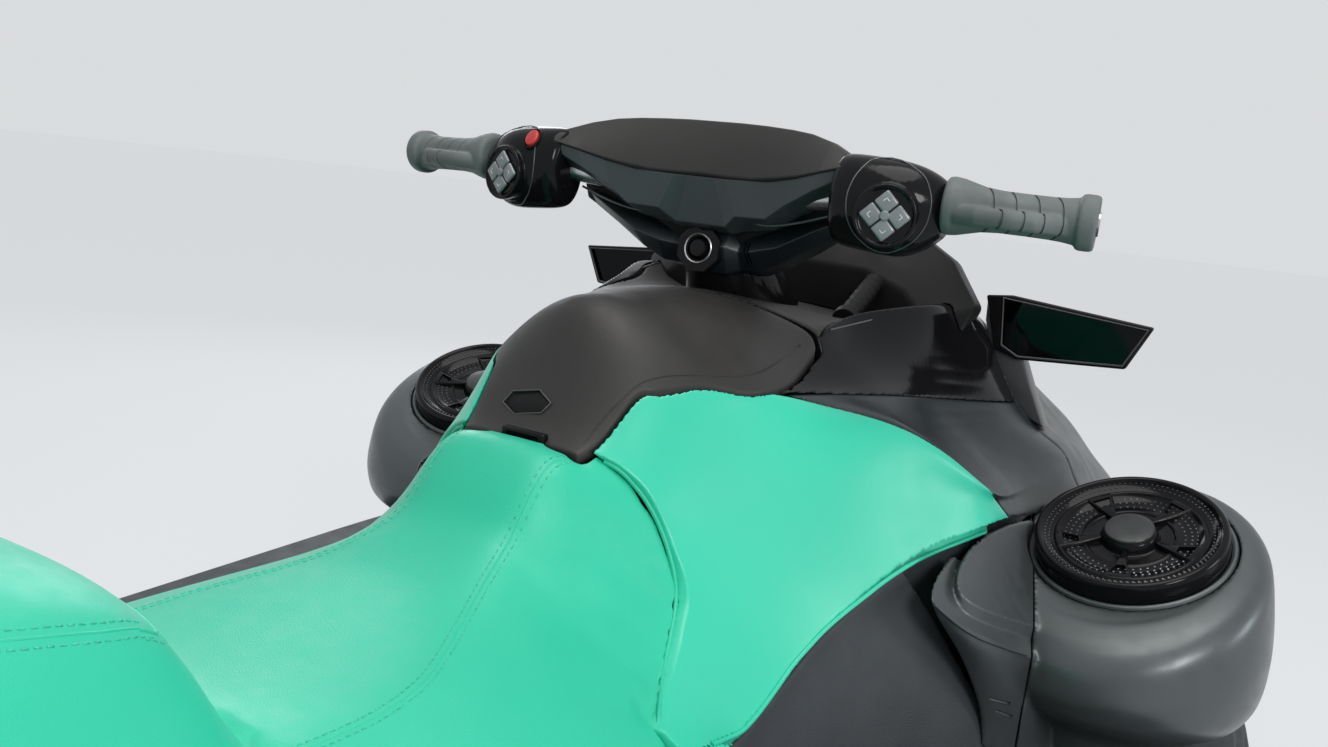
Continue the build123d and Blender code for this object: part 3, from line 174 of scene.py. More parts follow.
LAMPS = [
    # name, place, target, size, power, colour
    ("overhead", (-0.3, 0.2, 3.2), (0.0, -0.1, 0.4), 2.2, 42.0, (1.0, 0.98, 0.95)),
    ("rear_right", (-2.4, 1.6, 1.9), (-0.2, 0.0, 0.5), 1.0, 36.0, (1.0, 1.0, 1.0)),
    ("front_left", (2.4, -2.4, 2.0), (0.0, -0.4, 0.5), 1.6, 20.0, (0.9, 0.95, 1.0)),
    ("right_side", (-3.0, -0.8, 1.2), (0.0, -0.3, 0.4), 0.9, 12.0, (0.95, 0.98, 1.0)),
]
for name, place, target, size, power, colour in LAMPS:
    lamp = bpy.data.lights.new(name, "AREA")
    lamp.shape = "DISK"
    lamp.size = size
    lamp.energy = power
    lamp.color = colour
    holder = bpy.data.objects.new(name, lamp)
    holder.location = place
    holder.rotation_euler = (Vector(target) - Vector(place)).to_track_quat("-Z", "Y").to_euler()
    bpy.context.scene.collection.objects.link(holder)
bpy.context.scene.view_settings.view_transform = "Standard"
print("lamps:", len(LAMPS))

# %% [markdown]
# Every finish is a node material on Object coordinates, which run in metres through the whole craft.
# The helpers below add one grain each: a bump from noise or cells, and small changes of tone and
# roughness, so that no surface is one flat colour.

# %% Material helpers
PLAIN_SHINE = 0.5  # the shader's own specular level


def new_material(name, colour, roughness, metallic=0.0, coat=0.0, coat_roughness=0.05, shine=PLAIN_SHINE):
    """A material of one colour, to which the helpers below add grain."""
    material = bpy.data.materials.new(name)
    material.use_nodes = True
    shader = material.node_tree.nodes["Principled BSDF"]
    shader.inputs["Base Color"].default_value = (*colour, 1.0)
    shader.inputs["Roughness"].default_value = roughness
    shader.inputs["Metallic"].default_value = metallic
    shader.inputs["Coat Weight"].default_value = coat
    shader.inputs["Coat Roughness"].default_value = coat_roughness
    shader.inputs["Specular IOR Level"].default_value = shine
    material.diffuse_color = (*colour, 1.0)
    return material


def place_input(material):
    """The object coordinates of a material, made once."""
    tree = material.node_tree
    found = tree.nodes.get("place")
    if found is None:
        found = tree.nodes.new("ShaderNodeTexCoord")
        found.name = "place"
    return found.outputs["Object"]


def noise(material, scale, detail=3.0, stretch=(1.0, 1.0, 1.0)):
    """Soft clouds, stretched along an axis for a brushed finish."""
    tree = material.node_tree
    mapping = tree.nodes.new("ShaderNodeMapping")
    mapping.inputs["Scale"].default_value = stretch
    texture = tree.nodes.new("ShaderNodeTexNoise")
    texture.inputs["Scale"].default_value = scale
    texture.inputs["Detail"].default_value = detail
    tree.links.new(place_input(material), mapping.inputs["Vector"])
    tree.links.new(mapping.outputs["Vector"], texture.inputs["Vector"])
    return texture.outputs["Fac"]


def cells(material, scale):
    """Small pits side by side, as in leather grain and textured plastic."""
    tree = material.node_tree
    texture = tree.nodes.new("ShaderNodeTexVoronoi")
    texture.inputs["Scale"].default_value = scale
    tree.links.new(place_input(material), texture.inputs["Vector"])
    return texture.outputs["Distance"]


def bands(material, scale):
    """Even ribs that run fore and aft, counted across the craft."""
    tree = material.node_tree
    texture = tree.nodes.new("ShaderNodeTexWave")
    texture.bands_direction = "X"
    texture.inputs["Scale"].default_value = scale
    texture.inputs["Distortion"].default_value = 0.0
    tree.links.new(place_input(material), texture.inputs["Vector"])
    return texture.outputs["Fac"]


def ramp(material, value, low, high, start, end):
    """Maps a texture between two plain numbers."""
    node = material.node_tree.nodes.new("ShaderNodeMapRange")
    node.inputs["From Min"].default_value = low
    node.inputs["From Max"].default_value = high
    node.inputs["To Min"].default_value = start
    node.inputs["To Max"].default_value = end
    material.node_tree.links.new(value, node.inputs["Value"])
    return node.outputs["Result"]


def tone(material, value, dark, light, low=0.35, high=0.65):
    """Colours a material between two tones of one colour."""
    node = material.node_tree.nodes.new("ShaderNodeValToRGB")
    node.color_ramp.elements[0].position = low
    node.color_ramp.elements[0].color = (*dark, 1.0)
    node.color_ramp.elements[1].position = high
    node.color_ramp.elements[1].color = (*light, 1.0)
    tree = material.node_tree
    tree.links.new(value, node.inputs["Fac"])
    tree.links.new(node.outputs["Color"], tree.nodes["Principled BSDF"].inputs["Base Color"])


def rough(material, value, start, end):
    """Lets the roughness run between two levels."""
    tree = material.node_tree
    result = ramp(material, value, 0.3, 0.7, start, end)
    tree.links.new(result, tree.nodes["Principled BSDF"].inputs["Roughness"])


def bump(material, value, distance, strength=1.0):
    """Adds one layer of bump over those already there."""
    tree = material.node_tree
    node = tree.nodes.new("ShaderNodeBump")
    node.inputs["Strength"].default_value = strength
    node.inputs["Distance"].default_value = distance
    tree.links.new(value, node.inputs["Height"])
    normal = tree.nodes["Principled BSDF"].inputs["Normal"]
    if normal.is_linked:
        tree.links.new(normal.links[0].from_socket, node.inputs["Normal"])
    tree.links.new(node.outputs["Normal"], normal)


# %% [markdown]
# The finishes, from the picture: mint vinyl on the seat and gloss mint on the panels, satin charcoal on
# the lid and pad, gloss black on the pods and the flank wall, satin slate below it, silver-grey paint on
# the speaker housings, and grey rubber on the grips.

# %% Finishes
mint_vinyl = new_material("mint_vinyl", (0.030, 0.62, 0.40), 0.44, coat=0.1, coat_roughness=0.3)
tone(mint_vinyl, noise(mint_vinyl, 3.2), (0.024, 0.58, 0.37), (0.037, 0.66, 0.43))
rough(mint_vinyl, noise(mint_vinyl, 60.0), 0.36, 0.5)
bump(mint_vinyl, noise(mint_vinyl, 22.0, 2.0), 0.0012, 0.25)
bump(mint_vinyl, cells(mint_vinyl, 900.0), 0.00022, 0.5)

mint_thread = new_material("mint_thread", (0.06, 0.62, 0.44), 0.6)
tone(mint_thread, noise(mint_thread, 400.0), (0.03, 0.42, 0.29), (0.09, 0.7, 0.5))
bump(mint_thread, noise(mint_thread, 2500.0), 0.0002, 0.6)

mint_gloss = new_material("mint_gloss", (0.038, 0.66, 0.44), 0.38, coat=0.2, coat_roughness=0.22)
tone(mint_gloss, noise(mint_gloss, 2.5), (0.033, 0.63, 0.42), (0.043, 0.69, 0.46))
rough(mint_gloss, noise(mint_gloss, 40.0), 0.34, 0.42)
bump(mint_gloss, noise(mint_gloss, 380.0), 0.00004, 0.15)

charcoal_satin = new_material("charcoal_satin", (0.026, 0.0245, 0.0235), 0.46, shine=0.36)
tone(charcoal_satin, noise(charcoal_satin, 6.0), (0.022, 0.0205, 0.0196), (0.030, 0.0285, 0.0275))
rough(charcoal_satin, noise(charcoal_satin, 30.0), 0.4, 0.52)
bump(charcoal_satin, cells(charcoal_satin, 1400.0), 0.00016, 0.5)

black_gloss = new_material("black_gloss", (0.006, 0.006, 0.007), 0.1, shine=0.16)
tone(black_gloss, noise(black_gloss, 5.0), (0.005, 0.005, 0.006), (0.009, 0.009, 0.010))
rough(black_gloss, noise(black_gloss, 25.0), 0.09, 0.16)
bump(black_gloss, noise(black_gloss, 300.0), 0.00005, 0.2)

slate_satin = new_material("slate_satin", (0.008, 0.013, 0.016), 0.36, coat=0.1, coat_roughness=0.2)
tone(slate_satin, noise(slate_satin, 5.0), (0.0068, 0.011, 0.0138), (0.0095, 0.015, 0.0185))
rough(slate_satin, noise(slate_satin, 35.0), 0.32, 0.42)
bump(slate_satin, noise(slate_satin, 900.0), 0.00012, 0.4)

deck_grey = new_material("deck_grey", (0.045, 0.052, 0.058), 0.6)
tone(deck_grey, noise(deck_grey, 7.0), (0.038, 0.044, 0.050), (0.053, 0.061, 0.068))
rough(deck_grey, noise(deck_grey, 40.0), 0.54, 0.68)
bump(deck_grey, cells(deck_grey, 620.0), 0.0004, 0.6)

silver_satin = new_material("silver_satin", (0.088, 0.100, 0.104), 0.36, metallic=0.5, coat=0.15,
                            coat_roughness=0.2)
tone(silver_satin, noise(silver_satin, 4.0), (0.080, 0.091, 0.095), (0.096, 0.109, 0.113))
rough(silver_satin, noise(silver_satin, 60.0), 0.31, 0.42)
bump(silver_satin, noise(silver_satin, 2200.0, 1.0), 0.00006, 0.5)

grip_rubber = new_material("grip_rubber", (0.135, 0.155, 0.155), 0.58)
tone(grip_rubber, noise(grip_rubber, 14.0), (0.115, 0.132, 0.132), (0.155, 0.178, 0.178))
rough(grip_rubber, noise(grip_rubber, 80.0), 0.5, 0.66)
bump(grip_rubber, cells(grip_rubber, 1100.0), 0.0003, 0.6)

bumper_rubber = new_material("bumper_rubber", (0.018, 0.018, 0.020), 0.62)
tone(bumper_rubber, noise(bumper_rubber, 9.0), (0.014, 0.014, 0.016), (0.024, 0.024, 0.027))
rough(bumper_rubber, noise(bumper_rubber, 50.0), 0.55, 0.7)
bump(bumper_rubber, cells(bumper_rubber, 800.0), 0.0003, 0.5)

gelcoat_dark = new_material("gelcoat_dark", (0.020, 0.022, 0.025), 0.2, coat=0.35, coat_roughness=0.06)
tone(gelcoat_dark, noise(gelcoat_dark, 3.0), (0.017, 0.019, 0.022), (0.024, 0.027, 0.030))
rough(gelcoat_dark, noise(gelcoat_dark, 12.0), 0.13, 0.22)
bump(gelcoat_dark, noise(gelcoat_dark, 60.0), 0.0002, 0.15)

mat_foam = new_material("mat_foam", (0.030, 0.034, 0.038), 0.82)
# The grooves between the ribs are painted darker than the ribs' tops: painted shade in the grooves.
tone(mat_foam, bands(mat_foam, 22.0), (0.012, 0.014, 0.016), (0.040, 0.045, 0.050), 0.05, 0.3)
bump(mat_foam, bands(mat_foam, 22.0), 0.0022, 0.8)
rough(mat_foam, noise(mat_foam, 90.0), 0.74, 0.9)
bump(mat_foam, cells(mat_foam, 500.0), 0.0006, 0.7)

pump_alloy = new_material("pump_alloy", (0.52, 0.53, 0.54), 0.42, metallic=1.0)
tone(pump_alloy, noise(pump_alloy, 12.0), (0.44, 0.45, 0.46), (0.6, 0.61, 0.62))
rough(pump_alloy, noise(pump_alloy, 70.0), 0.36, 0.52)
bump(pump_alloy, noise(pump_alloy, 500.0), 0.0003, 0.5)

steel = new_material("steel", (0.55, 0.55, 0.56), 0.26, metallic=1.0)
tone(steel, noise(steel, 18.0), (0.5, 0.5, 0.51), (0.6, 0.6, 0.61))
rough(steel, noise(steel, 250.0, 2.0, (1.0, 1.0, 12.0)), 0.2, 0.36)
bump(steel, noise(steel, 700.0, 2.0, (1.0, 1.0, 10.0)), 0.00006, 0.4)

mirror_dark = new_material("mirror_dark", (0.012, 0.013, 0.014), 0.04, metallic=1.0)
rough(mirror_dark, noise(mirror_dark, 40.0), 0.02, 0.06)
bump(mirror_dark, noise(mirror_dark, 6.0), 0.0001, 0.1)

engine_grey = new_material("engine_grey", (0.2, 0.2, 0.21), 0.5, metallic=0.6)
tone(engine_grey, noise(engine_grey, 10.0), (0.16, 0.16, 0.17), (0.24, 0.24, 0.25))
bump(engine_grey, noise(engine_grey, 200.0), 0.0004, 0.5)

FINISHES = {
    "mint_vinyl": mint_vinyl, "mint_gloss": mint_gloss, "charcoal_satin": charcoal_satin,
    "black_gloss": black_gloss, "slate_satin": slate_satin, "deck_grey": deck_grey,
    "silver_satin": silver_satin, "grip_rubber": grip_rubber, "bumper_rubber": bumper_rubber,
    "gelcoat_dark": gelcoat_dark, "mat_foam": mat_foam, "pump_alloy": pump_alloy, "steel": steel,
    "mirror_dark": mirror_dark, "engine_block": engine_grey,
}
slot_of = {part["node"]: part["material_slot"] for part in frame["record"]["subparts"]}
for node, thing in nodes.items():
    thing.data.materials.clear()
    thing.data.materials.append(FINISHES[slot_of[node]])
print("finishes:", len(FINISHES))

# %% [markdown]
# The helpers that every piece goes through. A mesh gets its modifiers on a bench object, and what comes
# out is baked, so that each finished piece is plain mesh at the origin.

# %% Piece helpers
def as_mesh(shape, name):
    """The mesh that a bmesh holds, under a working name."""
    mesh = bpy.data.meshes.new(name)
    shape.to_mesh(mesh)
    shape.free()
    return mesh


def baked(data, steps):
    """Runs modifiers on a mesh or a curve and returns the mesh that they make."""
    bench = bpy.data.objects.new("bench", data)
    bpy.context.scene.collection.objects.link(bench)
    for kind, settings in steps:
        modifier = bench.modifiers.new(kind.lower(), kind)
        for key, value in settings.items():
            setattr(modifier, key, value)
    bpy.context.view_layer.update()
    graph = bpy.context.evaluated_depsgraph_get()
    result = bpy.data.meshes.new_from_object(bench.evaluated_get(graph))
    bpy.data.objects.remove(bench)
    return result


def cut(mesh, tool, operation="INTERSECT"):
    """Cuts one closed mesh by another."""
    cutter = bpy.data.objects.new("cutter", tool)
    bpy.context.scene.collection.objects.link(cutter)
    step = ("BOOLEAN", {"operation": operation, "solver": "MANIFOLD", "object": cutter})
    result = baked(mesh, [step])
    bpy.data.objects.remove(cutter)
    return result


def rounded(mesh, voxel, passes):
    """Remeshes a cut piece and rounds its edges."""
    remesh = ("REMESH", {"mode": "VOXEL", "voxel_size": voxel, "adaptivity": 0.0})
    smooth = ("SMOOTH", {"factor": 0.5, "iterations": passes})
    return baked(mesh, [remesh, smooth])


def offset(distance):
    """The modifier step that moves a whole surface along its slope, in metres."""
    return "DISPLACE", {"strength": distance, "mid_level": 0.0, "direction": "NORMAL"}


def mirrored(mesh):
    """The other side's copy of a mesh, its faces turned the right way again."""
    other = mesh.copy()
    other.transform(Matrix.Scale(-1, 4, (1, 0, 0)))
    other.flip_normals()
    return other


def lighter(mesh, most):
    """Thins a dense mesh to a number of triangles, the flatter places first."""
    triangles = sum(len(face.vertices) - 2 for face in mesh.polygons)
    if triangles <= most:
        return mesh
    return baked(mesh, [("DECIMATE", {"ratio": most / triangles})])


def show(mesh, name, body, finish, sharp=40.0, most=70000):
    """Links a mesh as a piece of the craft, smooth except at edges sharper than an angle."""
    mesh = lighter(mesh, most)
    mesh.name = name
    mesh.materials.clear()
    mesh.materials.append(finish)
    mesh.shade_smooth()
    mesh.set_sharp_from_angle(angle=math.radians(sharp))
    piece = bpy.data.objects.new(name, mesh)
    bpy.context.scene.collection.objects.link(piece)
    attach(piece, body)
    return piece


def whole(mesh, distance, name):
    """Merges the doubles of a closed mesh and turns its faces outwards."""
    shape = bmesh.new()
    shape.from_mesh(mesh)
    bmesh.ops.remove_doubles(shape, verts=shape.verts, dist=distance)
    bmesh.ops.recalc_face_normals(shape, faces=shape.faces)
    return as_mesh(shape, name)


def prism(points, near, far, view="side", corners=()):
    """A closed block from an outline in millimetres: side view (y, z) across, or plan (x, y) upwards."""
    curve = bpy.data.curves.new("outline", "CURVE")
    curve.dimensions = "2D"
    curve.fill_mode = "BOTH"
    curve.resolution_u = 6
    curve.extrude = (far - near) / 2 * MM
    spline = curve.splines.new("BEZIER")
    spline.bezier_points.add(len(points) - 1)
    for i, (a, b) in enumerate(points):
        knot = spline.bezier_points[i]
        knot.co = (a * MM, b * MM, 0.0)
        kind = "VECTOR" if i in corners else "AUTO"
        knot.handle_left_type = kind
        knot.handle_right_type = kind
    spline.use_cyclic_u = True
    block = baked(curve, [])
    middle = (near + far) / 2 * MM
    if view == "side":
        block.transform(Matrix(((0, 0, 1, middle), (1, 0, 0, 0), (0, 1, 0, 0), (0, 0, 0, 1))))
    else:
        block.transform(Matrix.Translation((0, 0, middle)))
    return whole(block, 0.000005, "block")


# %% [markdown]
# The moulded upper body is one flowing form that the seams cut into panels. Its sections are read from
# a short table, crown height and then seven points a side, at any station along the craft. A cage of
# such sections is pressed outwards until the smooth surface under it, which Subdivision Surface makes,
# runs through the sections themselves.

# %% The smooth upper body
BODY = [
    (170, 515, (28, 514), (50, 508), (68, 486), (88, 460), (132, 426), (254, 352), (238, 334), 244),
    (75, 537, (32, 536), (63, 533), (84, 518), (110, 494), (150, 438), (242, 336), (228, 318), 246),
    (0, 650, (52, 630), (93, 590), (112, 560), (138, 508), (176, 440), (241, 350), (228, 332), 248),
    (-100, 658, (92, 634), (146, 588), (158, 576), (190, 526), (220, 470), (256, 398), (242, 380), 262),
    (-200, 659, (116, 640), (147, 617), (178, 578), (240, 560), (272, 500), (296, 448), (280, 428), 326),
    (-290, 652, (130, 642), (155, 648), (200, 572), (312, 500), (322, 488), (330, 466), (312, 442), 384),
    (-430, 642, (142, 638), (202, 661), (222, 558), (306, 480), (320, 462), (328, 446), (312, 422), 420),
    (-600, 626, (140, 622), (200, 643), (262, 545), (322, 498), (348, 462), (366, 430), (352, 406), 424),
    (-900, 566, (124, 560), (186, 548), (262, 498), (312, 448), (350, 408), (378, 368), (374, 344), 420),
    (-1200, 478, (92, 472), (140, 460), (198, 425), (240, 392), (272, 366), (296, 338), (296, 318), 322),
    (-1420, 402, (58, 397), (90, 389), (130, 366), (160, 346), (182, 330), (198, 310), (200, 298), 214),
    (-1580, 345, (26, 342), (42, 338), (58, 330), (70, 321), (79, 312), (86, 302), (87, 296), 92),
]
BODY_STATIONS = [170, 122, 75, 38, 0, -50, -100, -150, -200, -245, -290, -360, -430, -515, -600]
BODY_STATIONS += [-750, -900, -1050, -1200, -1310, -1420, -1510, -1580]


def plain_row(row):
    """A row of a table with its pairs written out one after the other."""
    values = []
    for item in row:
        values += list(item) if isinstance(item, tuple) else [item]
    return values


def section_at(table, y):
    """Reads a table at any station, on curves that never swing past the rows beside them."""
    rows = np.array([plain_row(row) for row in table], float)
    keys = rows[:, 0]
    slopes = np.zeros_like(rows)
    steps = (rows[1:] - rows[:-1]) / (keys[1:] - keys[:-1])[:, None]
    slopes[0] = steps[0]
    for i in range(1, len(rows) - 1):
        both = steps[i - 1] * steps[i]
        total = steps[i - 1] + steps[i]
        slopes[i] = np.where(both > 0, 2 * both / np.where(both > 0, total, 1), 0)
    order = np.argsort(keys)
    high = min(len(keys) - 1, max(1, int(np.searchsorted(keys[order], y))))
    a, b = order[high - 1], order[high]
    span = keys[b] - keys[a]
    t = (y - keys[a]) / span
    value = (2 * t**3 - 3 * t**2 + 1) * rows[a] + (t**3 - 2 * t**2 + t) * slopes[a] * span
    value += (3 * t**2 - 2 * t**3) * rows[b] + (t**3 - t**2) * slopes[b] * span
    return value[1:]


def ring_at(table, y, foot_z, foot_in=None):
    """One closed section: crown, port side, underside, starboard side. The table gives the foot's x last,
    or else the foot lies a little inside the lowest point of the side."""
    crown, *rest = section_at(table, y)
    half = list(zip(rest[0::2], rest[1::2]))
    half.append((rest[-1] if foot_in is None else half[-1][0] - foot_in, foot_z))
    ring = [(0.0, crown)] + half + [(0.0, foot_z)] + [(-x, z) for x, z in reversed(half)]
    return [(x * MM, y * MM, z * MM) for x, z in ring]


CAGE_ROUNDS = 12  # after these the smooth surface runs through its sections to a hair


def softened(grid):
    """Where the smooth surface lies under a cage of rings."""
    across = (np.roll(grid, 1, axis=1) + 4 * grid + np.roll(grid, -1, axis=1)) / 6
    result = across.copy()
    result[1:-1] = (across[:-2] + 4 * across[1:-1] + across[2:]) / 6
    return result


def smooth_form(rings, levels):
    """A closed smooth solid through a row of rings."""
    target = np.array(rings, float)
    cage = target.copy()
    for _ in range(CAGE_ROUNDS):
        cage += target - softened(cage)
    count, around = target.shape[:2]
    shape = bmesh.new()
    bmesh.ops.create_grid(shape, x_segments=around, y_segments=count - 1, size=1.0)
    shape.verts.ensure_lookup_table()
    crease = shape.edges.layers.float.new("crease_edge")
    for row in range(count):
        for column in range(around + 1):
            shape.verts[row * (around + 1) + column].co = cage[row, column % around]
    bmesh.ops.remove_doubles(shape, verts=shape.verts, dist=0.0000001)
    ends = [edge for edge in shape.edges if edge.is_boundary]
    bmesh.ops.holes_fill(shape, edges=ends, sides=0)
    for edge in ends:
        edge[crease] = 1.0
    bmesh.ops.recalc_face_normals(shape, faces=shape.faces)
    return baked(as_mesh(shape, "form"), [("SUBSURF", {"levels": levels, "render_levels": levels})])


BODY_FOOT = 110.0  # inside the deck
SKIN = 0.009
body_form = smooth_form([ring_at(BODY, y, BODY_FOOT) for y in BODY_STATIONS], 3)
cleaned = ("REMESH", {"mode": "VOXEL", "voxel_size": 0.006})
inner_form = baked(body_form, [cleaned, offset(-SKIN / 3)] * 3 + [cleaned])
inner_form.flip_normals()
walls = bmesh.new()
walls.from_mesh(body_form)
walls.from_mesh(inner_form)
body_shell = as_mesh(walls, "body_shell")
print("upper body:", len(body_form.polygons), "faces, shell:", len(body_shell.polygons))

# %% [markdown]
# The seams are drawn as smooth outlines: the side panels, the gloss wall and the band below it in side
# view, the lid and the dash in plan. Cutting the shell with a block raised from each outline leaves a
# panel with the true curve of the body, and a fine remesh with a little smoothing rounds its edges as a
# moulded edge is.

# %% Panel outlines
SEAT_EDGE = [(86, 800), (86, 536), (66, 530), (52, 514), (44, 490), (42, 462), (48, 430), (70, 408)]
SEAT_EDGE += [(100, 390), (140, 376), (170, 368)]
FLANK_EDGE = [(-100, 583), (-150, 573), (-200, 558), (-240, 534), (-280, 500), (-320, 475), (-345, 455)]
TUCK_EDGE = [(-345, 435), (-290, 441), (-200, 427), (-100, 379), (0, 331), (75, 317), (170, 333)]
WALL_FOOT = [(-100, 583), (-200, 577), (-290, 571), (-430, 557), (-599, 544)]
BAND_BACK = [(-151, 572), (-201, 557), (-241, 533), (-281, 499), (-321, 474), (-346, 454)]
BAND_FOOT = [(-346, 436), (-430, 421), (-599, 405)]
KNEE_EDGE = [(-300, 0), (-300, 200), (-283, 243), (-257, 284), (-234, 333), (-211, 381), (-188, 420)]
LID_HALF = [(0, 80), (62, 80), (69, 60), (74, 40), (80, 20), (90, 8), (112, -30), (146, -90), (147, -205)]
DASH_HALF = [(144, -214), (142, -240), (146, -290), (160, -350), (190, -430), (190, -599)]
FRONT_LID_HALF = [(150, -660), (84, -1300)]
LID_GAP = 3.0
JOINT = 0.8  # between fixed panels
FAR_SIDE = 800.0
SPINE_X = 2.0
OVER_CROWN = (300, 900)  # heights between which the lid's and the dash's outlines cut


def both_halves(half, grow=0.0):
    """A whole plan outline from its port half, made wider by a joint line."""
    port = [(x + grow if x > 0 else x, y) for x, y in half]
    return port + [(-x, y) for x, y in reversed(port) if x > 0]


lid_half_grown = [(0, 80 + LID_GAP), (62 + LID_GAP, 80 + LID_GAP)]
lid_half_grown += [(x + LID_GAP, y) for x, y in LID_HALF[2:-1]] + [(147 + LID_GAP, -213)]
lid_opening = prism(both_halves(lid_half_grown), *OVER_CROWN, "plan", corners=(0, 1, 8, 9, 16, 17))
dash_opening = prism(both_halves(DASH_HALF, JOINT), *OVER_CROWN, "plan", corners=(0, 5, 6, 11))
print("openings:", len(lid_opening.polygons), len(dash_opening.polygons))

# %% [markdown]
# The side panels are gloss mint mouldings between the seat, the lid and the flanks. Both sides come from
# one half: the port panel is cut, and its mirror image is the starboard one.

# %% Side panels, gloss walls and bands
def side_piece(outline, corners, voxel=0.0015, passes=12):
    """The port piece of the shell inside a side outline, clear of the lid and the dash."""
    block = prism(outline, SPINE_X, FAR_SIDE, "side", corners)
    piece = cut(body_shell, block)
    piece = cut(piece, lid_opening, "DIFFERENCE")
    piece = cut(piece, dash_opening, "DIFFERENCE")
    return rounded(piece, voxel, passes)


def show_pair(given, mesh, name, body, finish, node=None, sharp=40.0, most=70000):
    """Shows a piece made for one side and its mirror image, for the nodes that they stand for."""
    other = "starboard" if given == "port" else "port"
    for side, half in ((given, mesh), (other, mirrored(mesh))):
        piece = show(half, name + "_" + side, body, finish, sharp, most)
        if node:
            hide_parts(node + "_" + side)


side_outline = [(-100, 800)] + FLANK_EDGE + TUCK_EDGE + SEAT_EDGE[::-1]
side_panel = side_piece(side_outline, (0, 1, 7, 8, 14, 15, 24, 25))
show_pair("port", side_panel, "mint_side_panel", "hull", mint_gloss, "side_panel", most=120000)

band_outline = BAND_BACK + BAND_FOOT + [(-599, 543)] + WALL_FOOT[3:0:-1] + [(-124, 579.7)]
flank_band = side_piece(band_outline, (5, 6, 8, 9, 12, 13, 0))
show_pair("port", flank_band, "slate_band", "hull", slate_satin, "flank_band")

wall_outline = [(-599, 800)] + WALL_FOOT[::-1] + [(-100, 800)]
flank_wall = side_piece(wall_outline, (0, 1, 5, 6))
show_pair("port", flank_wall, "gloss_wall", "hull", black_gloss, "flank_wall")

knee_outline = KNEE_EDGE + [(-188, 424.6)] + [(y, z - 1) for y, z in TUCK_EDGE[3:]] + [(170, 0)]
knee_panel = side_piece(knee_outline, (0, 6, 7, 11, 12), 0.0025, 6)
deck_top = prism([(-700, 243), (300, 198), (300, -300), (-700, -300)], 0, FAR_SIDE, "side", range(4))
knee_panel = cut(knee_panel, deck_top, "DIFFERENCE")
show_pair("port", knee_panel, "knee_moulding", "hull", deck_grey, "knee_panel")
print("panel faces:", len(side_panel.polygons), len(flank_band.polygons), len(flank_wall.polygons))

# %% [markdown]
# The glovebox lid and the dash are satin charcoal mouldings on the crown. The lid is cut in plan, so its
# outline narrows to the rear as the real one's does. It is shown further on, once its details are cut.

# %% Lid, dash, bow cowl and bow lid
lid_block = prism(both_halves(LID_HALF), *OVER_CROWN, "plan", (0, 1, 8, 9, 16))
lid_mesh = rounded(cut(body_shell, lid_block), 0.0014, 12)

dash_block = prism(both_halves(DASH_HALF), *OVER_CROWN, "plan", (0, 5, 6, 11))
dash_mesh = rounded(cut(body_shell, dash_block), 0.002, 8)
dash_piece = show(dash_mesh, "dash_cover", "hull", charcoal_satin)
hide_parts("dash")

OVER_BOW = (250, 900)
front_outline = both_halves([(0, -660)] + FRONT_LID_HALF + [(0, -1300)])
front_block = prism(front_outline, *OVER_BOW, "plan", range(6))
front_mesh = rounded(cut(body_shell, front_block), 0.003, 6)
front_piece = show(front_mesh, "bow_lid", "bow_hatch", mint_gloss)
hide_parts("front_lid")

bow_gap_outline = both_halves([(0, -655), (155, -655), (89, -1305), (0, -1305)])
front_opening = prism(bow_gap_outline, *OVER_BOW, "plan", range(6))
cowl_outline = [(-2800, -900), (-2800, 900), (-601, 900), (-601, -900)]
cowl_block = prism(cowl_outline, -FAR_SIDE, FAR_SIDE, "side", range(4))
cowl_mesh = cut(cut(body_shell, cowl_block), front_opening, "DIFFERENCE")
cowl_mesh = rounded(cowl_mesh, 0.004, 5)
cowl_piece = show(cowl_mesh, "bow_fairing", "hull", slate_satin, most=110000)
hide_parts("bow_cowl")
print("lid, dash, bow lid, cowl:", [len(m.polygons) for m in (lid_mesh, dash_mesh, front_mesh, cowl_mesh)])

# %% [markdown]
# Small details are placed by the pixel of the photograph in which they show. A ray from the camera
# through that pixel meets the piece that carries the detail, and gives the point and the slope of the
# surface there, so the detail sits on its carrier from every side.

# %% Touching a piece through a pixel
def surface_of(*meshes):
    """A search tree over one or more meshes."""
    shape = bmesh.new()
    for mesh in meshes:
        shape.from_mesh(mesh)
    tree = BVHTree.FromBMesh(shape)
    shape.free()
    return tree


def touch(tree, u, v):
    """Where the camera's ray through a pixel meets a surface, and the slope there."""
    place, slope, index, distance = tree.ray_cast(EYE, pixel_direction(u, v))
    return place, slope


def touched(tree, pixels, lift=0.0):
    """Points on a surface under a row of pixels, lifted a little off it, in metres."""
    points = []
    for u, v in pixels:
        place, slope = touch(tree, u, v)
        if place is not None:
            points.append(place + slope * lift)
    return points


def frame_on(place, slope, upward=(0.0, 0.0, 1.0)):
    """A frame on a surface: Z along the slope, Y as near upward as it can be."""
    z = Vector(slope).normalized()
    x = Vector(upward).cross(z).normalized()
    y = z.cross(x)
    turn = Matrix((x, y, z)).transposed().to_4x4()
    return Matrix.Translation(place) @ turn


def tube(points, radius, closed=False, sides=3, smooth=True):
    """A closed round bar through points in metres; the radius is in millimetres."""
    curve = bpy.data.curves.new("line", "CURVE")
    curve.dimensions = "3D"
    curve.bevel_depth = radius * MM
    curve.bevel_resolution = sides
    curve.resolution_u = 4
    curve.use_fill_caps = not closed
    spline = curve.splines.new("BEZIER")
    spline.bezier_points.add(len(points) - 1)
    for knot, point in zip(spline.bezier_points, points):
        knot.co = point
        kind = "AUTO" if smooth else "VECTOR"
        knot.handle_left_type = kind
        knot.handle_right_type = kind
    spline.use_cyclic_u = closed
    return whole(baked(curve, []), 0.000002, "bar")


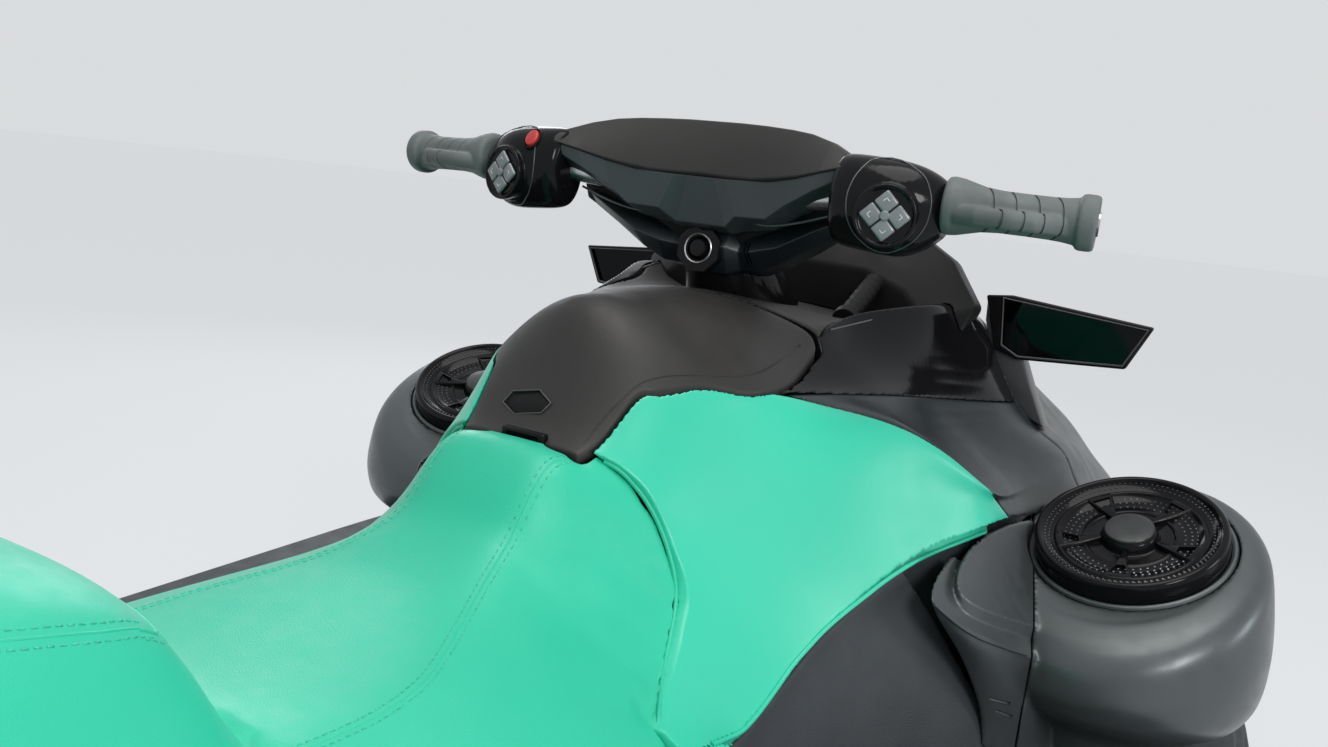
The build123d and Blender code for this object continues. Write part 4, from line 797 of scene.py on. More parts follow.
def block(width, depth, height, frame, bevel, segments=3):
    """A bevelled block, its foot on a frame's own floor."""
    shape = bmesh.new()
    size = Matrix.Diagonal((width * MM, depth * MM, height * MM, 1))
    bmesh.ops.create_cube(shape, size=1.0, matrix=Matrix.Translation((0, 0, height / 2 * MM)) @ size)
    bmesh.ops.bevel(shape, geom=shape.edges[:], offset=bevel * MM, segments=segments, profile=0.5,
                    affect="EDGES", material=-1, clamp_overlap=True)
    bmesh.ops.transform(shape, matrix=frame, verts=shape.verts)
    return as_mesh(shape, "block")


def joined(meshes):
    """Several meshes as one."""
    shape = bmesh.new()
    for mesh in meshes:
        shape.from_mesh(mesh)
    return as_mesh(shape, "joined")


middle_ray = pixel_direction(IMAGE_WIDTH / 2, IMAGE_HEIGHT / 2)
print("the ray through the middle of the picture:", [round(c, 3) for c in middle_ray])

# %% [markdown]
# The moulded pieces on the handlebar are faceted, with softly rounded edges. Each is a loft: closed
# rings of corners are joined ring to ring, the ends are filled, and a Bevel modifier rounds every edge
# that is sharper than a given angle.

# %% Faceted pieces
def lofted(rings):
    """Joins closed rings of points, in millimetres, and closes both ends."""
    shape = bmesh.new()
    loops = []
    for ring in rings:
        corners = [shape.verts.new((x * MM, y * MM, z * MM)) for x, y, z in ring]
        loops.append([shape.edges.new((a, b)) for a, b in zip(corners, corners[1:] + corners[:1])])
    for first, second in zip(loops, loops[1:]):
        bmesh.ops.bridge_loops(shape, edges=first + second)
    bmesh.ops.holes_fill(shape, edges=loops[0] + loops[-1], sides=0)
    bmesh.ops.recalc_face_normals(shape, faces=shape.faces)
    return as_mesh(shape, "loft")


def bevelled(mesh, width, segments=3, angle=18.0):
    """Rounds each edge that is sharper than an angle; the width is in millimetres."""
    settings = {"width": width * MM, "segments": segments, "limit_method": "ANGLE"}
    settings["angle_limit"] = math.radians(angle)
    return baked(mesh, [("BEVEL", settings)])


def across(table):
    """Rings across the craft from the port half of a table, mirrored to starboard."""
    starboard = [[(-x, y, z) for x, y, z in ring] for ring in reversed(table) if ring[0][0] > 0]
    return starboard + table


# %% [markdown]
# The seat is two vinyl cushions over foam. Each starts as a smooth form through its own table of
# sections, a little slimmer than the real one. A cloth simulation with air pressure then swells it, so
# that the cover crowns between its edges as stuffed vinyl does. How far a point may move is capped, so
# that the cushion keeps its place between the panels.

# %% Cushions
FRONT_CUSHION = [
    (30, 538, (30, 537), (60, 532), (86, 520), (112, 496), (136, 466), (152, 440), (176, 410), (204, 386)),
    (75, 537, (30, 536), (60, 531), (84, 513), (104, 486), (126, 452), (150, 422), (178, 398), (206, 378)),
    (110, 533, (28, 532), (54, 527), (74, 508), (92, 476), (116, 446), (145, 418), (180, 392), (210, 374)),
    (130, 516, (30, 515), (56, 509), (76, 484), (96, 456), (120, 433), (150, 411), (184, 388), (214, 371)),
    (150, 491, (32, 490), (56, 483), (78, 462), (100, 442), (126, 424), (156, 404), (190, 385), (218, 369)),
    (170, 470, (34, 469), (60, 463), (84, 447), (110, 431), (136, 416), (164, 400), (196, 383), (222, 368)),
    (210, 451, (42, 450), (74, 444), (100, 432), (126, 420), (152, 408), (180, 394), (206, 380), (228, 366)),
    (250, 439, (48, 438), (88, 432), (114, 423), (138, 413), (164, 402), (190, 390), (212, 378), (231, 366)),
    (320, 427, (60, 426), (110, 421), (133, 413), (155, 405), (178, 395), (200, 385), (218, 376), (233, 364)),
    (400, 421, (62, 420), (116, 415), (140, 407), (162, 398), (184, 389), (204, 380), (220, 372), (234, 362)),
    (455, 426, (62, 425), (116, 419), (140, 410), (162, 401), (184, 391), (204, 381), (220, 372), (234, 360)),
]
REAR_CUSHION = [
    (456.5, 440, (62, 439), (114, 431), (138, 420), (160, 408), (184, 396), (204, 384), (220, 373),
     (234, 360)),
    (480, 482, (60, 480), (108, 470), (134, 452), (158, 432), (182, 412), (204, 393), (221, 376), (234, 359)),
    (510, 521, (60, 519), (106, 508), (134, 486), (158, 457), (182, 427), (204, 400), (222, 378), (234, 357)),
    (560, 549, (60, 547), (106, 536), (135, 514), (159, 482), (182, 446), (204, 410), (222, 382), (234, 354)),
    (650, 566, (60, 564), (106, 555), (135, 535), (158, 503), (181, 464), (202, 422), (220, 386), (233, 352)),
    (850, 570, (60, 568), (106, 559), (134, 540), (156, 508), (178, 468), (198, 424), (215, 385), (228, 350)),
    (1000, 562, (56, 560), (98, 551), (125, 532), (147, 500), (168, 460), (187, 418), (204, 380), (217, 348)),
    (1090, 540, (52, 538), (90, 530), (113, 512), (134, 482), (154, 446), (173, 408), (189, 376), (202, 346)),
    (1118, 500, (48, 498), (84, 491), (106, 476), (126, 452), (146, 424), (164, 396), (180, 370), (192, 346)),
]
FRONT_STATIONS = [30, 52, 75, 92, 110, 130, 150, 170, 210, 250, 320, 400, 455]
REAR_STATIONS = [457, 480, 510, 560, 650, 750, 850, 1000, 1050, 1090, 1118]
BOARD_TOP = 330.5
FOOT_IN = 5.0


SWELL_FRAMES = 20
AIR_PRESSURE = 4.0


def swollen(mesh, cap):
    """Blows a closed cover up with a little air, no point further than the cap."""
    bench = bpy.data.objects.new("cover", mesh)
    bpy.context.scene.collection.objects.link(bench)
    cloth = bench.modifiers.new("cloth", "CLOTH")
    cloth.settings.use_pressure = True
    cloth.settings.uniform_pressure_force = AIR_PRESSURE
    cloth.settings.effector_weights.gravity = 0.0
    cloth.point_cache.frame_start = 1
    cloth.point_cache.frame_end = SWELL_FRAMES
    scene = bpy.context.scene
    for frame_number in range(1, SWELL_FRAMES + 1):
        scene.frame_set(frame_number)
    graph = bpy.context.evaluated_depsgraph_get()
    blown = bench.evaluated_get(graph).to_mesh()
    moved = 0.0
    for vertex, target in zip(mesh.vertices, blown.vertices):
        step = target.co - vertex.co
        if step.length > cap:
            step *= cap / step.length
        moved = max(moved, step.length)
        vertex.co += step
    bench.evaluated_get(graph).to_mesh_clear()
    bpy.data.objects.remove(bench)
    scene.frame_set(1)
    print("cover swelled by", round(moved / MM, 1), "mm at most")
    return mesh


def snugged(mesh, neighbour, gap, reach):
    """Draws the points beside a panel up to it, as stuffing presses a cover against its border."""
    for vertex in mesh.vertices:
        place, slope, index, distance = neighbour.find_nearest(vertex.co, reach)
        if place is not None and distance > gap:
            pull = min(1.0, 2.0 * (1.0 - distance / reach)) * (1.0 - gap / distance)
            vertex.co += (place - vertex.co) * pull
    return mesh


front_form = smooth_form([ring_at(FRONT_CUSHION, y, BOARD_TOP, FOOT_IN) for y in FRONT_STATIONS], 3)
nose_outline = [(y - 4, z) for y, z in SEAT_EDGE] + [(172, 200), (-200, 200), (-200, 800)]
nose_cut = prism(nose_outline, -FAR_SIDE, FAR_SIDE, "side", (0, 1, 10, 11, 12, 13))
spine_outline = [(0, 145), (106, 145), (106, -60), (0, -60), (-106, -60), (-106, 145)]
spine_room = prism(spine_outline, 100, 402, "plan", range(6))
lid_room = prism([(70, 85), (70, -60), (-70, -60), (-70, 85)], 490, 800, "plan", range(4))
for room_taken in (nose_cut, spine_room, lid_room):
    front_form = cut(front_form, room_taken, "DIFFERENCE")
slimmer = offset(-0.003)
front_cover = swollen(baked(rounded(front_form, 0.005, 3), [slimmer]), 0.004)
rear_form = smooth_form([ring_at(REAR_CUSHION, y, BOARD_TOP, FOOT_IN) for y in REAR_STATIONS], 3)
rear_cover = swollen(baked(rounded(rear_form, 0.006, 4), [slimmer]), 0.005)
once_finer = ("SUBSURF", {"levels": 1, "render_levels": 1})
border = surface_of(side_panel, mirrored(side_panel), knee_panel, mirrored(knee_panel))
front_cover = snugged(front_cover, border, 0.0012, 0.016)
covers = {}
for name, cover, node in (("front", front_cover, "seat_front"), ("rear", rear_cover, "seat_rear")):
    fine = baked(cover, [("SMOOTH", {"factor": 0.5, "iterations": 4}), once_finer])
    piece = show(fine, name + "_cushion", "hull", mint_vinyl, 60.0, 150000)
    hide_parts(node)
    covers[name] = piece
    print(name, "cushion:", len(fine.polygons), "faces")

# %% [markdown]
# The speaker housings are grey mouldings beside the legs: a bowl whose tilted shoulder holds the
# speaker, and an arm with a flat lobe that reaches towards the knee. The bowl is a stack of rings that
# start in the speaker's tilted plane and come level lower down. The arm's outlines are read through the
# pixels of the starboard side, on planes under the speaker. The two are joined and then parted again
# along the joint line that the real moulding shows.

# %% Speaker housings
SPEAKER_PLACE = Vector((-0.441, -0.418, 0.460))
SPEAKER_TURN = Matrix.Rotation(math.radians(-26.0), 4, "X") @ Matrix.Rotation(math.radians(8.0), 4, "Y")
SPEAKER_FRAME = Matrix.Translation(SPEAKER_PLACE) @ SPEAKER_TURN
SPEAKER_RADIUS = 97.7
speaker_axis = SPEAKER_FRAME.to_3x3() @ Vector((0, 0, 1))
BOWL = [
    # middle x, y, height there, share of the tilt, radius
    (-441, -418, 434.0, 1.0, 104), (-441, -418, 434.5, 1.0, 110), (-441, -416, 433.0, 1.0, 119),
    (-442, -412, 429.0, 1.0, 129), (-443, -410, 420.0, 1.0, 137), (-444, -410, 406.0, 0.95, 141.5),
    (-446, -412, 376.0, 0.8, 145.5), (-447, -416, 346.0, 0.55, 148), (-447, -420, 317.0, 0.3, 147),
    (-447, -420, 296.0, 0.12, 140), (-447, -420, 275.0, 0.0, 121), (-447, -420, 254.0, 0.0, 95),
    (-447, -420, 205.0, 0.0, 90),
]
RING_POINTS = 32


def bowl_ring(middle_x, middle_y, height, tilt, radius):
    """One ring of the bowl, which leans with the speaker by a share of its tilt."""
    ring = []
    for step in range(RING_POINTS):
        angle = 2 * math.pi * step / RING_POINTS
        x = middle_x * MM + radius * MM * math.cos(angle)
        y = middle_y * MM + radius * MM * math.sin(angle)
        lean = speaker_axis.x * (x - SPEAKER_PLACE.x) + speaker_axis.y * (y - SPEAKER_PLACE.y)
        ring.append((x, y, height * MM - lean / speaker_axis.z * tilt))
    return ring


def on_plane(frame, pixels):
    """Where the rays through some pixels meet the floor of a frame, in the frame's own millimetres."""
    points = []
    back = frame.inverted()
    for u, v in pixels:
        start = back @ EYE
        way = back.to_3x3() @ pixel_direction(u, v)
        place = start - way * (start.z / way.z)
        points.append((place.x / MM, place.y / MM))
    return points


LOBE_PIXELS = [(1040, 521), (1000, 527), (971, 546), (957, 574), (963, 598), (990, 614), (1033, 628),
               (1062, 630), (1075, 600), (1070, 550)]
BASE_PIXELS = [(1040, 524), (985, 534), (948, 560), (931, 594), (942, 613), (968, 632), (1014, 652),
               (1060, 664), (1085, 630), (1080, 560)]
LOBE_HIGH = Vector((-0.338, -0.444, 0.435))
LOBE_LOW = Vector((-0.384, -0.291, 0.367))
LOBE_TIP_PIXEL = (952, 580)
TIP_FROM_BODY = 0.05
BOWL_MIDDLE = Vector((-0.447, -0.42, 0))
body_at_tip = touch(surface_of(body_form), *LOBE_TIP_PIXEL)[0]
lobe_tip = body_at_tip - pixel_direction(*LOBE_TIP_PIXEL) * TIP_FROM_BODY
print("the lobe comes as near the body as", [round(c, 3) for c in lobe_tip])
lobe_slope = (LOBE_LOW - LOBE_HIGH).cross(lobe_tip - LOBE_HIGH)
if lobe_slope.z < 0:
    lobe_slope.negate()
LOBE_FRAME = frame_on(LOBE_HIGH, lobe_slope, (0, -1, 0))


def middle_of(plan):
    """The mean point of an outline."""
    return sum(x for x, y in plan) / len(plan), sum(y for x, y in plan) / len(plan)


def pixel_ring(pixels, drop, size=1.0, sink=0.0, inward=0.0):
    """A ring through some pixels on a plane under the lobe's top, drawn in and sunk as asked."""
    floor_frame = LOBE_FRAME @ Matrix.Translation((0, 0, -drop * MM))
    plan = on_plane(floor_frame, pixels)
    cx, cy = middle_of(plan)
    ring = []
    for x, y in plan:
        place = floor_frame @ Vector(((cx + (x - cx) * size) * MM, (cy + (y - cy) * size) * MM, 0))
        pull = Vector((BOWL_MIDDLE.x - place.x, BOWL_MIDDLE.y - place.y, 0)).normalized() * inward * MM
        ring.append((place.x + pull.x, place.y + pull.y, place.z - sink * MM))
    return ring


def arm_form(pixels, drop, caps, steps):
    """A smooth form under an outline: two smaller rings for its rounded top, then rings that sink inwards."""
    rings = [pixel_ring(pixels, drop, size) for size in caps] + [pixel_ring(pixels, drop + 1.5)]
    rings += [pixel_ring(pixels, drop + 1.5, 1.0, sink, inward) for sink, inward in steps]
    return smooth_form(rings, 3)


bowl = smooth_form([bowl_ring(*row) for row in BOWL], 2)
lobe = arm_form(LOBE_PIXELS, 0.0, (0.90, 0.96), [(6, 0), (16, 2), (30, 8), (60, 30)])
arm_base = arm_form(BASE_PIXELS, 9.0, (0.92, 0.98),
                    [(6, 3), (20, 14), (50, 42), (90, 72), (130, 94), (160, 100)])
housing = cut(cut(bowl, lobe, "UNION"), arm_base, "UNION")


def disc(radius, low, high, frame, sides=64):
    """A round plug between two heights of a frame, in millimetres."""
    shape = bmesh.new()
    place = frame @ Matrix.Translation((0, 0, (low + high) / 2 * MM))
    bmesh.ops.create_cone(shape, cap_ends=True, segments=sides, radius1=radius * MM, radius2=radius * MM,
                          depth=(high - low) * MM, matrix=place)
    return as_mesh(shape, "disc")


SPEAKER_WELL = 106.0  # radius of the well that the speaker sits in
housing = cut(housing, disc(SPEAKER_WELL, -50, 60, SPEAKER_FRAME, 128), "DIFFERENCE")
grown_form = baked(body_form, [offset(0.0015)])
housing = cut(housing, grown_form, "DIFFERENCE")
SEAM_START = (-338, -444)
SEAM_END = (-386, -287)
SEAM_HALF = 0.6
FAR = 600  # well past the housing on every side


def seam_half(side, gap):
    """A tall block on one side of the joint line between bowl and arm."""
    (ax, ay), (bx, by) = SEAM_START, SEAM_END
    run = math.hypot(bx - ax, by - ay)
    tx, ty = (bx - ax) / run, (by - ay) / run
    nx, ny = -ty * side, tx * side
    near = [(ax + way * tx + gap * nx, ay + way * ty + gap * ny) for way in (-FAR, FAR)]
    far = [(x + FAR * nx, y + FAR * ny) for x, y in reversed(near)]
    return prism(near + far, 100, 700, "plan", range(4))


arm_part = rounded(cut(housing, seam_half(-1, SEAM_HALF)), 0.0018, 4)
arm_skin = surface_of(arm_part)
SLOTS = [[(990, 699), (1010, 704), (1030, 713)], [(996, 711), (1012, 717), (1030, 727)]]
for pixels in SLOTS:
    arm_part = cut(arm_part, tube(touched(arm_skin, pixels), 2.2), "DIFFERENCE")
LEDGE_LINE = [(934, 604), (948, 617), (970, 633), (1000, 646), (1026, 655)]
ledge_lip = tube(touched(arm_skin, LEDGE_LINE, 0.0004), 1.6)
bowl_part = rounded(cut(housing, seam_half(1, SEAM_HALF)), 0.0022, 4)
for name, mesh, node in (("speaker_bowl", bowl_part, "speaker_housing"),
                         ("speaker_arm", arm_part, "speaker_housing"), ("arm_lip", ledge_lip, None)):
    show_pair("starboard", mesh, name, "hull", silver_satin, node, 30.0)
print("housing faces:", len(bowl_part.polygons), len(arm_part.polygons))

# %% [markdown]
# Each speaker is one turned profile: a stepped gloss bezel, a dished grille and a raised cap. A profile
# of a few points, spun round the speaker's axis, makes it in one step.

# %% Speakers
SPEAKER_PROFILE = [
    # radius, height over the face
    (0, -39), (92, -39), (SPEAKER_RADIUS, -36), (SPEAKER_RADIUS, -5), (96.9, -2.2), (95, -0.6), (92.5, 0),
    (90.4, -0.7), (89, -2.4), (84, -5.6), (79, -8.2), (77.6, -8.6), (76.2, -7.6), (74.4, -7.0),
    (72.8, -7.6), (71.4, -9.4), (62, -12.0),
    (50, -13.8), (48.4, -13.0), (46.6, -12.6), (45, -13.2), (43.6, -14.6), (33, -15.2), (30.4, -14.4),
    (28.6, -11.0), (27.2, -6.0), (25.4, -4.2), (20, -3.0), (10, -2.2), (0, -2.0),
]


def turned(profile, frame, steps=96):
    """A closed body of revolution from (radius, height) points in millimetres."""
    shape = bmesh.new()
    corners = [shape.verts.new((radius * MM, 0, height * MM)) for radius, height in profile]
    lines = [shape.edges.new((a, b)) for a, b in zip(corners, corners[1:])]
    bmesh.ops.spin(shape, geom=corners + lines, cent=(0, 0, 0), axis=(0, 0, 1), angle=2 * math.pi,
                   steps=steps, use_merge=True, use_duplicate=False)
    bmesh.ops.remove_doubles(shape, verts=shape.verts, dist=0.00001)
    bmesh.ops.recalc_face_normals(shape, faces=shape.faces)
    bmesh.ops.transform(shape, matrix=frame, verts=shape.verts)
    return as_mesh(shape, "turned")


speaker = turned(SPEAKER_PROFILE, SPEAKER_FRAME)
show_pair("starboard", speaker, "speaker_unit", "hull", black_gloss, "speaker")
print("speaker faces:", len(speaker.polygons))

# %% [markdown]
# The pad over the handlebar is one foam-backed moulding: a smooth arched top, a sharp ridge across its
# rear, and flat facets below. Each ring of the table runs round the pad once, so the ridge and the
# creases between facets are the lines from ring to ring.

# %% Steering pad
def pad_ring(x, *points):
    """A ring across the pad at one x, from (y, z) of front, crown, back, ridge, lip, foot and toe."""
    return [(x, y, z) for y, z in points]


PAD_TOP = [
    pad_ring(0, (-242, 825), (-228, 834), (-212, 835), (-188, 780), (-196, 772), (-214, 768), (-246, 752)),
    pad_ring(30, (-241, 825), (-227, 834), (-212, 835), (-187, 779), (-195, 771), (-214, 768), (-246, 752)),
    pad_ring(60, (-239, 824), (-225, 833), (-210, 834), (-184, 779), (-192, 771), (-212, 768), (-245, 752)),
    pad_ring(90, (-235, 822), (-220, 831), (-205, 832), (-178, 782), (-187, 774), (-208, 771), (-242, 756)),
    pad_ring(115, (-230, 819), (-215, 828), (-200, 829), (-173, 786), (-182, 779), (-204, 776), (-236, 762)),
    pad_ring(142, (-222, 812), (-206, 821), (-190, 822), (-164, 792), (-173, 786), (-194, 784), (-226, 774)),
    pad_ring(168, (-212, 801), (-196, 809), (-177, 811), (-155, 798), (-163, 793), (-180, 790), (-212, 784)),
]
pad_mesh = bevelled(lofted(across(PAD_TOP)), 2.0, 3, 9.0)
pad_piece = show(pad_mesh, "steering_cushion", "steering", charcoal_satin, 24.0)
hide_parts("steering_pad")
facet_slate = new_material("facet_slate", (0.034, 0.047, 0.051), 0.44)
tone(facet_slate, noise(facet_slate, 6.0), (0.029, 0.041, 0.045), (0.039, 0.053, 0.058))
rough(facet_slate, noise(facet_slate, 30.0), 0.38, 0.5)
bump(facet_slate, cells(facet_slate, 1400.0), 0.00014, 0.45)
PAD_SKIRT = [
    # ridge in, lip, foot, toe, inner top: x, y, z each
    [(0, -189, 776), (0, -200, 727), (0, -226, 719), (0, -246, 730), (0, -240, 770)],
    [(16, -189, 776), (30, -200, 727), (30, -226, 720), (22, -246, 731), (18, -240, 770)],
    [(30, -188, 776), (46, -188, 739), (44, -218, 724), (40, -245, 735), (36, -240, 771)],
    [(78, -184, 777), (82, -184, 740), (82, -212, 730), (80, -243, 742), (80, -236, 773)],
    [(112, -177, 783), (104, -179, 756), (108, -204, 746), (112, -236, 752), (112, -230, 778)],
    [(140, -167, 790), (134, -168, 772), (136, -190, 762), (140, -224, 764), (140, -220, 784)],
    [(166, -159, 796), (164, -162, 786), (164, -176, 776), (166, -208, 778), (166, -206, 788)],
]
skirt_mesh = bevelled(lofted(across(PAD_SKIRT)), 1.0, 2, 7.0)
skirt_piece = show(skirt_mesh, "pad_skirt", "steering", facet_slate, 9.0)
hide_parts("steering_pad")
LIP_EDGE = [(0.030, -0.216, 0.723), (0.050, -0.206, 0.733), (0.082, -0.200, 0.734), (0.112, -0.196, 0.740),
            (0.150, -0.196, 0.752)]
for side, sign in (("port", 1), ("starboard", -1)):
    blade = tube([(x * sign, y, z) for x, y, z in LIP_EDGE], 1.3)
    show(blade, "pad_lip_" + side, "steering", silver_satin)
print("pad faces:", len(pad_mesh.polygons))

# %% [markdown]
# Below the pad a faceted clamp holds the handlebar on the column. Its middle carries a round key post
# in an eight-sided housing, and its arms rise to the pods on both sides.

# %% Column clamp and key post
hood_black = new_material("hood_black", (0.008, 0.008, 0.0084), 0.48, shine=0.14)
tone(hood_black, noise(hood_black, 6.0), (0.0068, 0.0068, 0.0072), (0.0095, 0.0095, 0.01))
rough(hood_black, noise(hood_black, 30.0), 0.42, 0.54)
bump(hood_black, cells(hood_black, 1400.0), 0.00015, 0.4)
CLAMP = [
    [(0, -262, 726), (0, -226, 724), (0, -212, 706), (0, -226, 676), (0, -262, 670)],
    [(24, -262, 726), (24, -226, 724), (24, -213, 706), (24, -227, 677), (24, -262, 671)],
    [(40, -262, 722), (36, -234, 719), (36, -226, 702), (36, -236, 682), (40, -262, 676)],
    [(56, -262, 722), (54, -228, 721), (54, -214, 704), (58, -232, 683), (60, -262, 679)],
    [(84, -260, 730), (82, -226, 732), (86, -210, 712), (84, -230, 695), (86, -260, 692)],
    [(120, -254, 746), (120, -224, 747), (122, -210, 732), (118, -228, 716), (120, -254, 712)],
    [(150, -246, 756), (150, -222, 757), (150, -214, 746), (148, -224, 734), (150, -246, 732)],
]
clamp_mesh = bevelled(lofted(across(CLAMP)), 1.6, 3, 12.0)
post_frame = Matrix.Translation((0.004, -0.2135, 0.701)) @ Matrix.Rotation(math.radians(-84), 4, "X")
clamp_mesh = cut(clamp_mesh, disc(17.0, -12, 20, post_frame), "DIFFERENCE")
for slot_x in (-0.052, -0.046):
    slot_frame = Matrix.Translation((slot_x, -0.222, 0.702)) @ Matrix.Rotation(math.radians(12), 4, "Y")
    slot_block = block(2.4, 26, 22, slot_frame @ Matrix.Translation((0, 0, -0.011)), 0.4, 1)
    clamp_mesh = cut(clamp_mesh, slot_block, "DIFFERENCE")
clamp_piece = show(clamp_mesh, "column_clamp", "steering", slate_satin, 24.0)
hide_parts("steering_cowl")
SHROUD = [
    [(22, -252, 690), (22, -230, 690), (22, -226, 740), (22, -248, 745)],
    [(84, -252, 700), (84, -232, 700), (84, -222, 752), (84, -246, 756)],
    [(120, -248, 718), (120, -230, 718), (120, -212, 768), (120, -238, 768)],
    [(160, -236, 740), (160, -222, 740), (160, -200, 786), (160, -222, 786)],
]
for side, sign in (("port", 1), ("starboard", -1)):
    shroud = bevelled(lofted([[(x * sign, y, z) for x, y, z in ring] for ring in SHROUD]), 3.0, 2, 20.0)
    show(shroud, "bar_shroud_" + side, "steering", hood_black, 30.0)
housing_ring = disc(26.5, -10, 3.2, post_frame @ Matrix.Rotation(math.radians(22.5), 4, "Z"), 8)
housing_ring = cut(housing_ring, disc(16.6, -12, 20, post_frame), "DIFFERENCE")
show(bevelled(housing_ring, 1.4, 3, 30.0), "post_housing", "steering", black_gloss, 28.0)
POST_PROFILE = [(0, -11), (15.6, -11), (15.6, 1.6), (14.8, 3.0), (13.4, 3.0), (12.4, 0.6), (10.8, -0.8),
                (10.2, 3.2), (8.8, 5.4), (5, 6.4), (0, 6.8)]
show(turned(POST_PROFILE, post_frame, 48), "key_post", "steering", black_gloss)
RIM_PROFILE = [(14.9, 2.4), (16.5, 2.4), (16.5, 4.0), (15.8, 4.5), (14.9, 4.0), (14.9, 2.4)]
show(turned(RIM_PROFILE, post_frame, 48), "post_rim", "steering", steel)
print("clamp faces:", len(clamp_mesh.polygons))

# %% [markdown]
# A switch pod is one smooth gloss shell between the pad and the grip. Its rings are ovals across the
# bar. The button cluster sits on a round face that is tilted to the rider's thumb: four satin keys
# round a middle key, each a bevelled block cut from a rounded square that stands on its corner.

# %% Switch pods
POD = [
    # x, middle (y, z), half depth, half height
    (158, -184, 770, 22, 36),
    (166, -180, 769, 31, 43),
    (196, -179, 767, 35, 45),
    (228, -180, 765, 35, 44),
    (250, -186, 766, 29, 36),
    (264, -191, 768, 22, 25),
]
POD_POINTS = 16
pod_rings = []
for x, y, z, deep, tall in POD:
    ring = []
    for step in range(POD_POINTS):
        angle = 2 * math.pi * step / POD_POINTS
        reach = 1.0 if math.cos(angle) > 0 else 0.9
        ring.append((-x * MM, (y + deep * reach * math.cos(angle)) * MM, (z + tall * math.sin(angle)) * MM))
    pod_rings.append(ring)
pod = smooth_form(pod_rings, 2)
KEY_PIXEL = (885, 216)
key_place, key_slope = touch(surface_of(pod), *KEY_PIXEL)
key_slope = (key_slope + Vector((-0.25, 0.9, 0.12)).normalized() * 1.5).normalized()
POD_FACE = frame_on(key_place, key_slope)
FACE_PROFILE = [(0, -16), (27.5, -16), (29.5, -2), (29.5, 1.6), (28.8, 2.6), (27.4, 2.9), (26.2, 2.2),
                (25.6, 0.4), (0, 0.2)]
pod = rounded(cut(pod, turned(FACE_PROFILE, POD_FACE, 64), "UNION"), 0.0013, 4)
pod_skin = surface_of(pod)
show_pair("starboard", pod, "thumb_pod", "steering", black_gloss, "switch_pod")
POD_LOOP = [(846, 204), (850, 186), (862, 168), (880, 158), (902, 160), (920, 172), (930, 190), (930, 212),
            (920, 234), (902, 248), (880, 252), (860, 240), (849, 224)]
loop = tube(touched(pod_skin, POD_LOOP, 0.0001), 0.7, True)
show_pair("starboard", loop, "pod_trim", "steering", silver_satin)


def key_cluster(frame, half, gap=1.1):
    """Four keys round a middle key, on their corner, with a small raised arrow on each."""
    keys = []
    marks = []
    width = half * 1.414 - gap
    for turn in (0, 90, 180, 270):
        spin = frame @ Matrix.Rotation(math.radians(turn), 4, "Z")
        corner = Matrix.Translation((half * MM, 0, 0)) @ Matrix.Rotation(math.radians(45), 4, "Z")
        keys.append(block(width, width, 4.4, spin @ corner, 2.4, 3))
        for lean in (-1, 1):
            arm = Matrix.Translation(((half * 1.05 + 1.5) * MM, lean * 1.4 * MM, 4.3 * MM))
            arm = arm @ Matrix.Rotation(math.radians(-45 * lean), 4, "Z")
            marks.append(block(4.2, 0.9, 0.5, spin @ arm, 0.2, 1))
    keys.append(turned([(0, 0), (4.6, 0), (4.6, 5.2), (3.7, 6.2), (0, 6.5)], frame, 32))
    return joined(keys), joined(marks)


keys, marks = key_cluster(POD_FACE @ Matrix.Translation((0, 0, 0.0002)), 12.6)
key_grey = new_material("key_grey", (0.24, 0.26, 0.27), 0.34, metallic=0.3, coat=0.3, coat_roughness=0.15)
tone(key_grey, noise(key_grey, 40.0), (0.21, 0.23, 0.24), (0.27, 0.29, 0.3))
bump(key_grey, noise(key_grey, 1500.0), 0.00005, 0.4)
mark_pale = new_material("mark_pale", (0.7, 0.72, 0.73), 0.4)
tone(mark_pale, noise(mark_pale, 300.0), (0.64, 0.66, 0.67), (0.76, 0.78, 0.79))
show_pair("starboard", keys, "thumb_keys", "steering", key_grey, None, 30.0)
show_pair("starboard", marks, "thumb_marks", "steering", mark_pale, None, 30.0)

stop_red = new_material("stop_red", (0.52, 0.018, 0.016), 0.34, coat=0.4)
tone(stop_red, noise(stop_red, 60.0), (0.46, 0.014, 0.014), (0.58, 0.022, 0.019))
STOP_PIXEL = (533, 139)
stop_oval = frame_on(*touch(surface_of(mirrored(pod)), *STOP_PIXEL)) @ Matrix.Diagonal((0.78, 1.1, 1.0, 1.0))
STOP_PROFILE = [(0, -4), (9.6, -4), (9.6, 2.4), (8.8, 3.8), (6, 4.6), (0, 4.9)]
GUARD_PROFILE = [(10.4, -4), (12.6, -4), (12.6, 1.2), (12, 2), (11, 2), (10.4, 1.2), (10.4, -4)]
show(turned(STOP_PROFILE, stop_oval, 40), "stop_button", "steering", stop_red)
show(turned(GUARD_PROFILE, stop_oval, 40), "stop_guard", "steering", black_gloss)
print("keys:", len(keys.polygons), "faces, pod:", len(pod.polygons))

# %% [markdown]
# The grips are soft grey rubber sleeves. A turned profile gives the collar, the sleeve and the end
# flange with its sunk cap, and a flat wing under the palm joins it. The slanting grooves follow the
# surface: each is a thin slab, less a copy of the grip drawn in by their depth.

